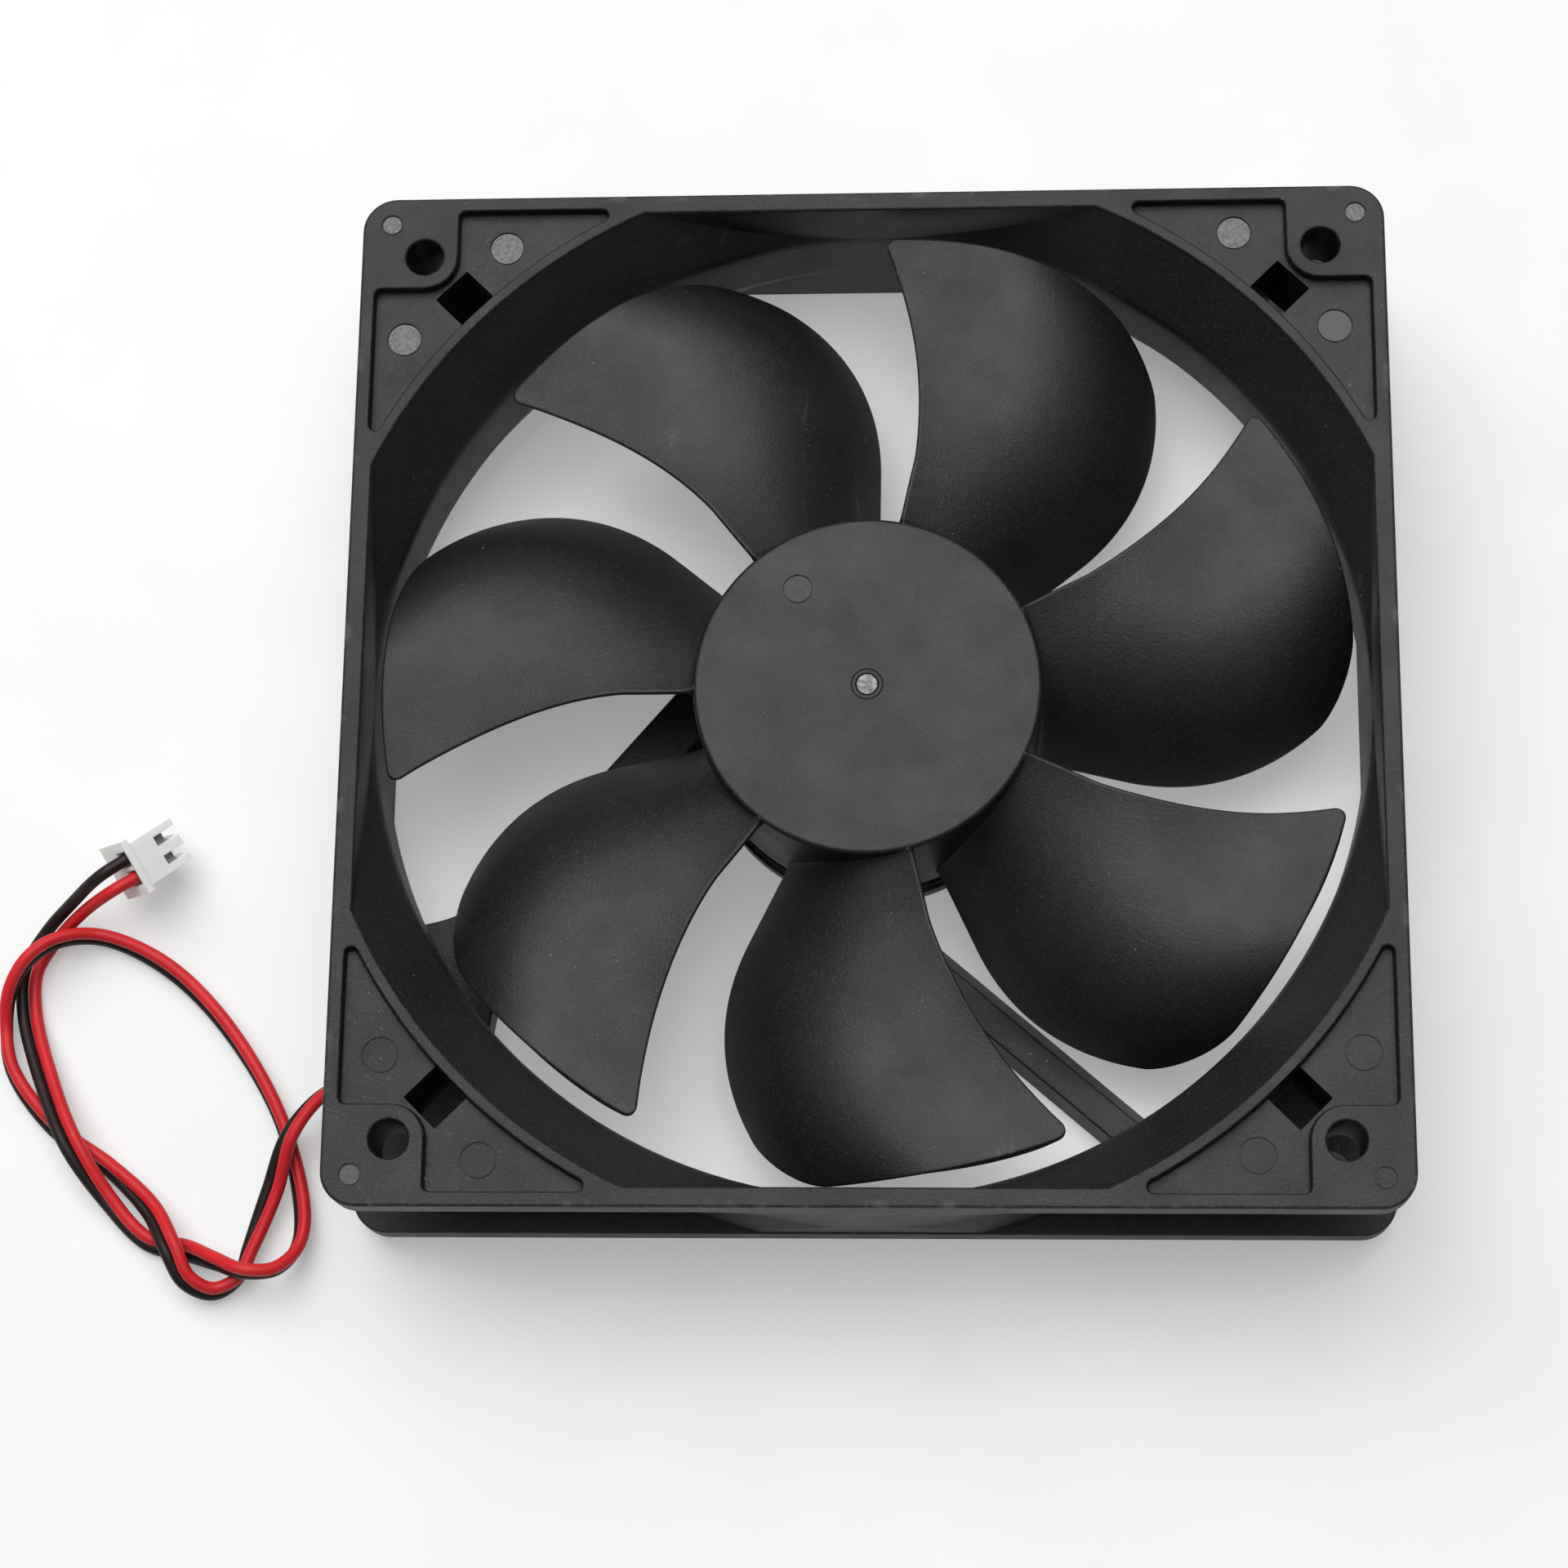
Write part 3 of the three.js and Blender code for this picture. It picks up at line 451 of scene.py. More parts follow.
def laminated_steel(name):
    """A stack of stampings: a groove between one sheet and the next."""
    m = Material(name, metallic=0.9)
    sheet = 0.5 * MM
    split = m.add("ShaderNodeSeparateXYZ")
    m.link(m.place, split.inputs[0])
    wave = m.math("SINE", m.math("MULTIPLY", split.outputs["Z"], 2 * math.pi / sheet), 0)
    m.feed("Base Color", m.ramp(wave, (0.05, (0.1, 0.1, 0.11)), (0.4, (0.42, 0.43, 0.45))))
    m.vary("Roughness", m.noise(500, detail=3), 0.35, 0.5)
    m.feed("Normal", m.bump(wave, 0.05 * MM))
    return m.material


def circuit_mask(name):
    """Green solder mask with the copper under it showing as lighter lanes."""
    m = Material(name)
    lanes = m.ramp(m.noise(330, detail=0), (0.49, 0.0), (0.51, 1.0))
    m.feed("Base Color", m.mix(lanes, (0.012, 0.09, 0.035), (0.03, 0.17, 0.06)))
    m.vary("Roughness", m.noise(700, detail=3), 0.28, 0.42)
    m.feed("Normal", m.bump(lanes, 0.03 * MM, 0.6))
    return m.material


def blank_sticker(name):
    """Brushed foil with nothing printed on it."""
    m = Material(name, metallic=0.35)
    fibre = m.noise(1400, detail=4, place=m.stretched((1, 0.12, 1)))
    m.vary("Base Color", fibre, (0.5, 0.51, 0.52), (0.62, 0.63, 0.64))
    m.vary("Roughness", m.noise(90, detail=3), 0.3, 0.42)
    m.feed("Normal", m.bump(m.noise(70, detail=2), 0.04 * MM, 0.5))
    return m.material


def enamel(name):
    """Copper wire under clear enamel."""
    m = Material(name, metallic=0.75)
    m.shader.inputs["Coat Weight"].default_value = 0.6
    m.shader.inputs["Coat Roughness"].default_value = 0.12
    m.vary("Base Color", m.noise(300, detail=3), (0.42, 0.14, 0.05), (0.58, 0.24, 0.09))
    m.vary("Roughness", m.noise(900, detail=2), 0.22, 0.34)
    m.feed("Normal", m.bump(m.noise(1600, detail=3), 0.01 * MM, 0.5))
    return m.material


def pale_floor(name):
    """A pale table top, with a weak glow in place of a bright room's light."""
    m = Material(name)
    m.shader.inputs["Emission Color"].default_value = (1, 1, 1, 1)
    m.shader.inputs["Emission Strength"].default_value = FLOOR_GLOW
    m.vary("Base Color", m.noise(9, detail=4), (0.49, 0.49, 0.485), (0.515, 0.515, 0.51))
    m.vary("Roughness", m.noise(50, detail=3), 0.42, 0.55)
    m.feed("Normal", m.bump(m.noise(300, detail=3), 0.01 * MM, 0.4))
    return m.material


# ---- mesh helpers -----------------------------------------------------------------------

def new_object(name, vertices, faces):
    mesh = bpy.data.meshes.new(name)
    mesh.from_pydata([tuple(v) for v in vertices], [], faces)
    edit = bmesh.new()
    edit.from_mesh(mesh)
    bmesh.ops.recalc_face_normals(edit, faces=edit.faces)
    edit.to_mesh(mesh)
    edit.free()
    made = bpy.data.objects.new(name, mesh)
    bpy.context.scene.collection.objects.link(made)
    return made


def turned(name, profile, sides):
    """A profile of (radius, z) turned about Z: it starts and ends on the axis, or closes."""
    rows, vertices, faces = [], [], []
    for r, z in profile:
        if r < 1e-6:
            rows.append([len(vertices)] * sides)
            vertices.append((0, 0, z))
            continue
        rows.append([len(vertices) + i for i in range(sides)])
        turns = [2 * math.pi * i / sides for i in range(sides)]
        vertices += [(r * math.cos(t), r * math.sin(t), z) for t in turns]
    pairs = list(zip(rows, rows[1:]))
    if profile[0][0] > 1e-6:
        pairs.append((rows[-1], rows[0]))
    for low, high in pairs:
        for i in range(sides):
            j = (i + 1) % sides
            faces.append(list(dict.fromkeys([low[i], low[j], high[j], high[i]])))
    return new_object(name, vertices, faces)


def inset(outline, distance):
    """The outline moved inwards; its points run anticlockwise."""
    points = np.array(outline, float)
    along = np.roll(points, -1, 0) - points
    along /= np.linalg.norm(along, axis=1)[:, None]
    inward = np.stack([-along[:, 1], along[:, 0]], 1)
    before = np.roll(inward, 1, 0)
    share = 1 + (inward * before).sum(1)
    return points + distance * (inward + before) / share[:, None]


def prism(name, outline, levels):
    """A solid with a ring of the outline at each (z, inset)."""
    count = len(outline)
    vertices = [(x, y, z) for z, by in levels for x, y in inset(outline, by)]
    faces = [list(range(count))[::-1], [len(vertices) - count + i for i in range(count)]]
    for row in range(len(levels) - 1):
        for i in range(count):
            j = (i + 1) % count
            low, high = row * count, (row + 1) * count
            faces.append([low + i, low + j, high + j, high + i])
    return new_object(name, vertices, faces)


def soft_levels(z0, z1, low, high, steps=4):
    """Levels of a prism with rounded edges. A radius below zero flares the end, for a cutter."""
    turns = [math.pi / 2 * i / steps for i in range(steps + 1)]
    start = [(z0 + abs(low) * (1 - math.sin(t)), low * (1 - math.cos(t))) for t in turns[::-1]]
    end = [(z1 - abs(high) * (1 - math.sin(t)), high * (1 - math.cos(t))) for t in turns]
    return (start if low else [(z0, 0)]) + (end if high else [(z1, 0)])


def run_past(levels, below, above):
    """A cutter's levels, carried on past its ends."""
    start = [(levels[0][0] - below, levels[0][1])] if below else []
    end = [(levels[-1][0] + above, levels[-1][1])] if above else []
    return start + levels + end


def arc(cx, cy, r, start, end, steps):
    turns = [math.radians(start + (end - start) * i / steps) for i in range(steps + 1)]
    return [(cx + r * math.cos(t), cy + r * math.sin(t)) for t in turns]


def circle(cx, cy, r, sides):
    return arc(cx, cy, r, 0, 360, sides)[:-1]


def fillet(before, corner, after, radius, steps):
    """The points of an arc that rounds a corner between two straight runs."""
    p, a, b = (Vector(v) for v in (corner, before, after))
    u, v = (a - p).normalized(), (b - p).normalized()
    half = u.angle(v) / 2
    reach = radius / math.tan(half)
    start, end = p + u * reach, p + v * reach
    centre = p + (u + v).normalized() * (radius / math.sin(half))
    first = math.atan2(*(start - centre).yx)
    sweep = (math.atan2(*(end - centre).yx) - first + math.pi) % (2 * math.pi) - math.pi
    turns = [first + sweep * i / steps for i in range(steps + 1)]
    return [(centre.x + radius * math.cos(t), centre.y + radius * math.sin(t)) for t in turns]


def rounded(corners, steps=5):
    """An outline from (x, y, radius) corners; a radius of 0 keeps the point."""
    outline = []
    for i, (x, y, radius) in enumerate(corners):
        if radius:
            before, after = corners[i - 1][:2], corners[(i + 1) % len(corners)][:2]
            outline += fillet(before, (x, y), after, radius, steps)
        else:
            outline.append((x, y))
    return outline


def apply_modifiers(made):
    bpy.context.view_layer.update()
    graph = bpy.context.evaluated_depsgraph_get()
    changed = bpy.data.meshes.new_from_object(made.evaluated_get(graph))
    made.modifiers.clear()
    made.data = changed


def joined(base, tools, operation):
    """Joins or cuts base with each tool, which is used up."""
    for tool in tools:
        modifier = base.modifiers.new("boolean", "BOOLEAN")
        modifier.operation = operation
        modifier.solver = "MANIFOLD"
        modifier.object = tool
        apply_modifiers(base)
        bpy.data.objects.remove(tool)
    return base


def bevel_edges(made, width, segments):
    modifier = made.modifiers.new("edges", "BEVEL")
    modifier.width = width
    modifier.segments = segments
    modifier.limit_method = "ANGLE"
    modifier.angle_limit = math.radians(40)


def turn_mesh(made, degrees):
    made.data.transform(Matrix.Rotation(math.radians(degrees), 4, "Z"))
    return made


def finished(made, angle=32, place=None):
    """Brings a mesh to metres, smooths it except over sharp edges, and evens its normals."""
    if place is not None:
        made.data.transform(place)
    made.data.transform(Matrix.Scale(MM, 4))
    edit = bmesh.new()
    edit.from_mesh(made.data)
    merge = 1e-7
    bmesh.ops.remove_doubles(edit, verts=edit.verts, dist=merge)
    bmesh.ops.dissolve_degenerate(edit, edges=edit.edges, dist=merge)
    limit = math.radians(angle)
    for face in edit.faces:
        face.smooth = True
    for edge in edit.edges:
        edge.smooth = len(edge.link_faces) == 2 and edge.calc_face_angle(0) < limit
    edit.to_mesh(made.data)
    edit.free()
    modifier = made.modifiers.new("normals", "WEIGHTED_NORMAL")
    modifier.keep_sharp = True
    modifier.weight = 100


def put(made, body, materials, replaced):
    """Gives a piece its materials, says where it rides, and hides the CAD parts that it replaces."""
    made.data.materials.clear()
    for material in materials:
        made.data.materials.append(material)
    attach(made, body)
    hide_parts(*replaced)
    return made


# ---- wires ------------------------------------------------------------------------------

def smooth_line(points, per_step):
    """A centripetal Catmull-Rom line through points of any dimension."""
    points = np.array(points, float)
    padded = np.vstack([2 * points[0] - points[1], points, 2 * points[-1] - points[-2]])
    line = []
    for p0, p1, p2, p3 in zip(padded, padded[1:], padded[2:], padded[3:]):
        spans = ((p0, p1), (p1, p2), (p2, p3))
        d0, d1, d2 = (math.sqrt(np.linalg.norm(b[:3] - a[:3])) for a, b in spans)
        leave = (p1 - p0) / d0 - (p2 - p0) / (d0 + d1) + (p2 - p1) / d1
        reach = (p2 - p1) / d1 - (p3 - p1) / (d1 + d2) + (p3 - p2) / d2
        leave, reach = leave * d1, reach * d1
        for i in range(per_step):
            t = i / per_step
            line.append(
                p1 + leave * t
                + (3 * (p2 - p1) - 2 * leave - reach) * t**2
                + (2 * (p1 - p2) + leave + reach) * t**3
            )
    return np.array(line + [points[-1]])


def pair_line(route, side):
    """The middle of one wire of the bonded pair."""
    line = smooth_line(route, WIRE_STEPS)
    middle, roll, half = line[:, :3], np.radians(line[:, 3]), line[:, 4]
    forward = np.gradient(middle, axis=0)
    forward /= np.linalg.norm(forward, axis=1)[:, None]
    right = np.stack([forward[:, 1], -forward[:, 0], 0 * roll], 1)
    right /= np.linalg.norm(right, axis=1)[:, None]
    up = np.cross(right, forward)
    out = np.cos(roll)[:, None] * right + np.sin(roll)[:, None] * up
    return middle + side * half[:, None] * out


def wire_curve(name, line, radius, resolution=5):
    data = bpy.data.curves.new(name, "CURVE")
    data.dimensions = "3D"
    spline = data.splines.new("POLY")
    spline.points.add(len(line) - 1)
    for point, place in zip(spline.points, line):
        point.co = (*(Vector(place) * MM), 1)
    data.bevel_depth = radius * MM
    data.bevel_resolution = resolution
    data.use_fill_caps = True
    spline.use_smooth = True
    made = bpy.data.objects.new(name, data)
    bpy.context.scene.collection.objects.link(made)
    return made


def held_route():
    """The held wires' route, turned from the wide strut's direction."""
    turn = math.radians(STRUT_TURN)
    c, s = math.cos(turn), math.sin(turn)
    return [
        (along * c - across * s, along * s + across * c, z, roll, PAIR_HALF)
        for along, across, z, roll in HELD_ROUTE
    ]


def add_wires(red, black):
    for name, side, material, slot in (
        ("red", 1, red, "red_insulation"),
        ("black", -1, black, "black_insulation"),
    ):
        line = pair_line(LEAD_ROUTE, side)
        free = wire_curve(f"{name}_wire", line, WIRE_R)
        put(free, "frame", [material], [f"{name}_lead"])
        held = wire_curve(f"{name}_wire_in_strut", pair_line(held_route(), side), WIRE_R)
        put(held, "frame", [material], [f"{name}_lead_held"])


# ---- connector --------------------------------------------------------------------------

def slab(name, x0, x1, y0, y1, z0, z1):
    return prism(name, [(x0, y0), (x1, y0), (x1, y1), (x0, y1)], [(z0, 0), (z1, 0)])


def connector_place():
    roll, pitch, yaw = (
        Matrix.Rotation(math.radians(angle), 4, axis) for angle, axis in zip(CONNECTOR_TURN, "XYZ")
    )
    return Matrix.Translation(CONNECTOR_AT) @ (yaw @ pitch @ roll)


def add_connector(material):
    """The white housing: a collar and a barrel, with a wire way, window and pin way each side."""
    body = slab("connector", 0.0, 0.9, -3.5, 3.5, -2.8, 2.8)
    cuts = []
    for side in (1, -1):
        y = side * PITCH_HALF
        cuts += [
            slab("wire_way", -1, 6.2, y - 1.0, y + 1.0, 0.3, 2.45),
            slab("window", 4.1, 8.5, y - 0.6, y + 0.6, 1.4, 4),
            slab("pin_way", 5.6, 8.5, y - 0.5, y + 0.5, -1.6, 1.5),
        ]
    joined(body, [slab("barrel", 0.5, 7.3, -2.8, 2.8, -2.75, 2.75)], "UNION")
    joined(body, cuts, "DIFFERENCE")
    bevel_edges(body, 0.14, 3)
    apply_modifiers(body)
    finished(body, angle=50, place=connector_place())
    return put(body, "frame", [material], ["connector_housing"])


# ---- frame ------------------------------------------------------------------------------

def duct_profile(grow, lip):
    """(radius, z) of the duct's surface; lip rounds its two mouths outwards."""
    turns = [math.pi / 2 * i / 4 for i in range(5)]
    curl = [(lip * (1 - math.sin(t)), lip * (1 - math.cos(t))) for t in turns] if lip else [(0, 0)]
    rear = [(REAR_MOUTH_R + grow + out, z) for out, z in curl]
    front = [(FRONT_MOUTH_R + grow + out, DEPTH - z) for out, z in curl[::-1]]
    throat = DUCT_R + grow
    walls = [
        (throat + 0.12, THROAT_LOW - 0.4), (throat, THROAT_LOW + 0.2),
        (throat, THROAT_HIGH - 1), (throat + 0.1, THROAT_HIGH), (throat + 0.5, THROAT_HIGH + 0.8),
    ]
    return rear + walls + front


def square(half, radius=0.0, steps=10):
    signs = ((-1, -1), (1, -1), (1, 1), (-1, 1))
    return rounded([(x * half, y * half, radius) for x, y in signs], steps)


def duct_outside():
    wall = duct_profile(DUCT_WALL, 0)
    duct = turned("duct_outside", [(0, 0)] + wall + [(0, DEPTH)], 192)
    clip = prism("clip", square(HALF - WALL_SET_BACK), [(1, 0), (DEPTH - 1, 0)])
    return joined(duct, [clip], "INTERSECT")


def duct_inside():
    wall = duct_profile(0, 0.35)
    below, above = (wall[0][0], -1), (wall[-1][0], DEPTH + 1)
    duct = turned("duct_inside", [(0, -1), below, *wall, above, (0, DEPTH + 1)], 192)
    levels = run_past(soft_levels(0, DEPTH, -0.35, -0.35), 1.5, 1.5)
    clip = prism("clip", square(DUCT_FLAT), levels)
    return joined(duct, [clip], "INTERSECT")


def pocket_outline():
    near = HOLE_OFFSET - BOSS_R
    tip = math.sqrt(POCKET_INNER_R**2 - POCKET_OUTER**2)
    reach = math.degrees(math.asin(tip / POCKET_INNER_R)) + POCKET_TIP_MARGIN
    inner = [(x, y, 0) for x, y in arc(0, 0, POCKET_INNER_R, 90 - reach, reach, 28)]
    boss = [(x, y, 0) for x, y in arc(HOLE_OFFSET, HOLE_OFFSET, BOSS_R, 270, 180, 10)]
    corners = [(POCKET_OUTER, tip, 0.75), (POCKET_OUTER, near, 0.8)]
    corners += boss
    corners += [(near, POCKET_OUTER, 0.8), (tip, POCKET_OUTER, 0.75)]
    return rounded(corners + inner)


def pin_tools(x, y, radius, z):
    """Cutters for a pin's mark: a shallow disc with a fine groove round it."""
    sides, inner, low, high = 36, radius - SPOT_GROOVE, z - SPOT_GROOVE, z + 1
    disc = prism("pin", circle(x, y, radius, sides), [(z - SPOT_DEPTH, 0), (high, 0)])
    ring = [(inner, low), (radius, low), (radius, high), (inner, high)]
    edge = turned("pin_edge", ring, sides)
    edge.data.transform(Matrix.Translation((x, y, 0)))
    return [disc, edge]


def at_slot(made):
    """Brings a piece from the origin to the slot, along the corner's diagonal."""
    place = Matrix.Translation((SLOT_CENTRE, SLOT_CENTRE, 0))
    made.data.transform(place @ Matrix.Rotation(math.pi / 4, 4, "Z"))
    return made


def corner_tools(turn):
    """Everything cut into one corner of the frame."""
    levels = run_past(soft_levels(POCKET_FLOOR, DEPTH, 0.3, -0.25), 0, 1)
    tools = [prism("pocket", pocket_outline(), levels)]
    levels = run_past(soft_levels(0, DEPTH, -0.3, -0.3), 1, 1)
    tools.append(prism("hole", circle(HOLE_OFFSET, HOLE_OFFSET, HOLE_R, 40), levels))
    levels = [(SOCKET_LOW - 1, 0), (DEPTH + 1, 0)]
    tools.append(at_slot(prism("slot", square(SLOT_SIDE / 2, 0.15, 3), levels)))
    for spot in EJECTOR_SPOTS:
        tools += pin_tools(*spot, POCKET_FLOOR)
    tools += pin_tools(*CORNER_SPOT, DEPTH)
    return [turn_mesh(tool, turn) for tool in tools]


def slot_socket(turn):
    """The square tube under the slot, which joins the duct wall."""
    half = SLOT_SIDE / 2 + SOCKET_WALL
    corners = [
        (-SOCKET_REACH, -half, 0), (half, -half, 0.5), (half, half, 0.5), (-SOCKET_REACH, half, 0),
    ]
    levels = [(SOCKET_LOW, 0), (DEPTH - FLANGE + 1, 0)]
    return turn_mesh(at_slot(prism("socket", rounded(corners, 3), levels)), turn)


def screw_boss(turn):
    """The short tube under a mounting hole."""
    levels = soft_levels(BOSS_LOW, DEPTH - FLANGE + 1, 0.3, 0)
    outline = circle(HOLE_OFFSET, HOLE_OFFSET, BOSS_R, 48)
    return turn_mesh(prism("screw_boss", outline, levels), turn)


def strut(sides):
    """A strut along X: a prism whose outline's x and y become y and z."""
    low, low_top, high_top, high = sides
    section = rounded([
        (low, 0.0, 0.25), (high, 0.0, 0.25),
        (high_top, STRUT_HEIGHT, 0.35), (low_top, STRUT_HEIGHT, 0.35),
    ], 4)
    made = prism("strut", section, [(STRUT_START, 0), (STRUT_REACH, 0)])
    made.data.transform(Matrix(((0, 0, 1, 0), (1, 0, 0, 0), (0, 1, 0, 0), (0, 0, 0, 1))))
    return made


def strut_foot():
    """The wide strut's splayed end, which meets the duct wall in two curves."""
    left = [(48 + 10 * t, -13.4 - 0.4 * t + 4.3 * t**2, 0) for t in np.linspace(0, 1, 8)]
    right = [(54.5 - 8.5 * t, -27.2 + 9 * t - 3.6 * t**2, 0) for t in np.linspace(0, 1, 8)]
    outline = rounded(left + [(61, -13, 0), (57.5, -27.5, 0)] + right)
    return prism("strut_foot", outline[::-1], soft_levels(0, STRUT_HEIGHT, 0, 0.3))


def wire_channel():
    """Cutters for the wires' groove in the strut and the openings at its two ends."""
    side, middle = CHANNEL_WIDTH / 2, -STRUT_OFFSET
    return [
        slab("groove", -1, 58, middle - side, middle + side, -1, CHANNEL_DEPTH),
        slab("window", -3.5, 4.5, middle, -9.5, -1, BASE_FLOOR + 1),
        slab("wall_slot", 56.5, 66.5, middle - side, middle + side, -1, 7),
    ]


def motor_base():
    """The shallow cup, whose rim steps in twice."""
    return turned("motor_base", [
        (0, 0), (BASE_R - 0.3, 0), (BASE_R, 0.3), (BASE_R, 2.3), (BASE_R - 0.45, 2.4),
        (BASE_R - 0.45, 3.3), (BASE_R - 0.9, 3.4), (BASE_R - 0.9, BASE_TOP - 0.2),
        (BASE_R - 1.1, BASE_TOP), (BASE_INNER_R, BASE_TOP), (BASE_INNER_R, BASE_FLOOR),
        (TUBE_SEAT_R, BASE_FLOOR), (TUBE_SEAT_R, TUBE_SEAT_LOW), (0, TUBE_SEAT_LOW),
    ], ROUND_SIDES)


def rim_notches():
    """Two fine slits across the cup's rim."""
    inner, outer, half = BASE_INNER_R - 0.2, BASE_R + 0.2, SLIT_WIDTH / 2
    return [
        turn_mesh(slab("slit", inner, outer, -half, half, SLIT_LOW, BASE_TOP + 1), turn)
        for turn in RIM_SLITS
    ]


def drum(name, radius, low, high, sides=ROUND_SIDES):
    return turned(name, [(0, low), (radius, low), (radius, high), (0, high)], sides)


def add_frame(plastic, marks):
    outline = square(HALF, CORNER_R)
    body = prism("frame_moulding", outline, soft_levels(DEPTH - FLANGE, DEPTH, 0.25, 0.4))
    rear = prism("rear_flange", outline, soft_levels(0, FLANGE, 0.4, 0.25))
    sockets = [slot_socket(turn) for turn in QUARTERS]
    joined(body, [rear, duct_outside(), *sockets], "UNION")
    joined(body, [duct_inside()], "DIFFERENCE")
    kinds = (STRUT_WIDE, STRUT_NARROW, STRUT_NARROW, STRUT_NARROW)
    struts = [turn_mesh(strut(kind), STRUT_TURN + turn) for kind, turn in zip(kinds, QUARTERS)]
    foot = turn_mesh(strut_foot(), STRUT_TURN)
    bosses = [screw_boss(turn) for turn in QUARTERS]
    joined(body, [*struts, foot, *bosses], "UNION")
    joined(body, [drum("cup", BASE_INNER_R, BASE_FLOOR, 9)], "DIFFERENCE")
    joined(body, [motor_base()], "UNION")
    cuts = [tool for turn in QUARTERS for tool in corner_tools(turn)]
    cuts.append(drum("label_seat", LABEL_R, -1, LABEL_DEPTH))
    cuts.append(drum("plug_hole", PLUG_HOLE_R, -1, 4, 64))
    cuts += [turn_mesh(tool, STRUT_TURN) for tool in wire_channel()]
    joined(body, cuts + rim_notches(), "DIFFERENCE")
    finished(body, angle=25)
    put(body, "frame", [plastic, *marks], ["frame_housing"])
    near, far = ((*spot, POCKET_FLOOR) for spot in EJECTOR_SPOTS)
    corner = (*CORNER_SPOT, DEPTH)
    # The marks towards the top corners take the paler copy, whose extra lightness is painted sheen
    # from the window over their own scuffs; the others take the darker copy or none.
    bright, faint = 1, 2
    mark_floors(body, [near, far, corner], 90, bright)
    mark_floors(body, [far, corner], 0, bright)
    mark_floors(body, [near], 0, faint)
    mark_floors(body, [corner], 180, faint)


def mark_floors(body, spots, turn, material):
    """Gives the floors of pin marks in one corner one of the body's other materials."""
    back = Matrix.Rotation(-math.radians(turn), 4, "Z")
    for face in body.data.polygons:
        centre = back @ (face.center / MM)
        for x, y, radius, z in spots:
            on_floor = abs(centre.z - z + SPOT_DEPTH) < SPOT_TOLERANCE
            if on_floor and math.hypot(centre.x - x, centre.y - y) < radius:
                face.material_index = material


# ---- impeller ---------------------------------------------------------------------------

def smoothstep(x, low, high):
    t = np.clip((x - low) / (high - low), 0, 1)
    return t * t * (3 - 2 * t)


def lead_angle(r):
    return 27.9 + 9.2 * np.maximum(0, (r - 28) / 28) ** 1.4 + 0.1 * np.maximum(0, 28 - r)


def trail_angle(r):
    return -13.46 + 17.5 * np.maximum(0, (r - 30.5) / 25.5) ** 1.9


def blade_surface(r, s):
    """The middle of the blade, at radius r and share s of its chord."""
    angle = np.radians(trail_angle(r) + (lead_angle(r) - trail_angle(r)) * s)
    outward = smoothstep(r, 30, 50)
    lead, trail = 22.3 - 2.4 * outward, 8.3 + 0.5 * outward
    crown = 3 + 3.6 * smoothstep(r, 20, 54)
    z = trail + (lead - trail) * s + crown * 4 * s * (1 - s) * (1.5 - s)
    return np.stack([r * np.cos(angle), r * np.sin(angle), z], -1)


def corner_inset(distance, radius):
    """How far a rounded corner pulls the tip in, at a distance from the blade's edge."""
    inside = np.maximum(0, radius - distance)
    return radius - np.sqrt(np.maximum(0, radius * radius - inside * inside))


def from_edge(reach, steps):
    """Distances from an edge that grow with their square."""
    return [reach * (k / steps) ** 2 for k in range(steps + 1)]


def chord_length(r):
    return float(np.radians(lead_angle(r) - trail_angle(r)) * r)


def blade_grid():
    """Radii and chord shares, closer together at the edges, the tip and the root."""
    near = from_edge(TRAIL_CORNER_R, 14)
    radii = [BLADE_ROOT_R] + [HUB_R + d for d in from_edge(2.6, 8)]
    radii += list(np.linspace(radii[-1], BLADE_TIP_R - 1, 42)[1:])
    radii += [BLADE_TIP_R - d for d in from_edge(1, 7)[-2::-1]]
    shares = []
    for r in radii:
        chord = chord_length(r)
        middle = np.linspace(near[-1], chord - near[-1], 28)[1:-1]
        shares.append([d / chord for d in [*near, *middle, *(chord - d for d in near[::-1])]])
    spans = (np.array(radii) - BLADE_ROOT_R) / (BLADE_TIP_R - BLADE_ROOT_R)
    return spans[:, None], np.array(shares)


def softened(distance, half):
    """Half the thickness at a distance from an edge whose two corners are rounded."""
    inside = np.clip(BLADE_EDGE_R - distance, 0, BLADE_EDGE_R)
    return half - BLADE_EDGE_R + np.sqrt(BLADE_EDGE_R**2 - inside**2)


def shell(name, over, under):
    """A closed mesh between two grids of points."""
    rows, columns = over.shape[:2]
    top = np.arange(rows * columns).reshape(rows, columns)
    low = top + rows * columns
    faces = []
    for grid in (top, low):
        corners = (grid[:-1, :-1], grid[:-1, 1:], grid[1:, 1:], grid[1:, :-1])
        faces += np.stack(corners, -1).reshape(-1, 4).tolist()
    for side in (np.s_[0], np.s_[-1], np.s_[:, 0], np.s_[:, -1]):
        upper, lower = top[side], low[side]
        faces += np.stack((upper[:-1], upper[1:], lower[1:], lower[:-1]), -1).tolist()
    return new_object(name, np.concatenate([over, under]).reshape(-1, 3), faces)


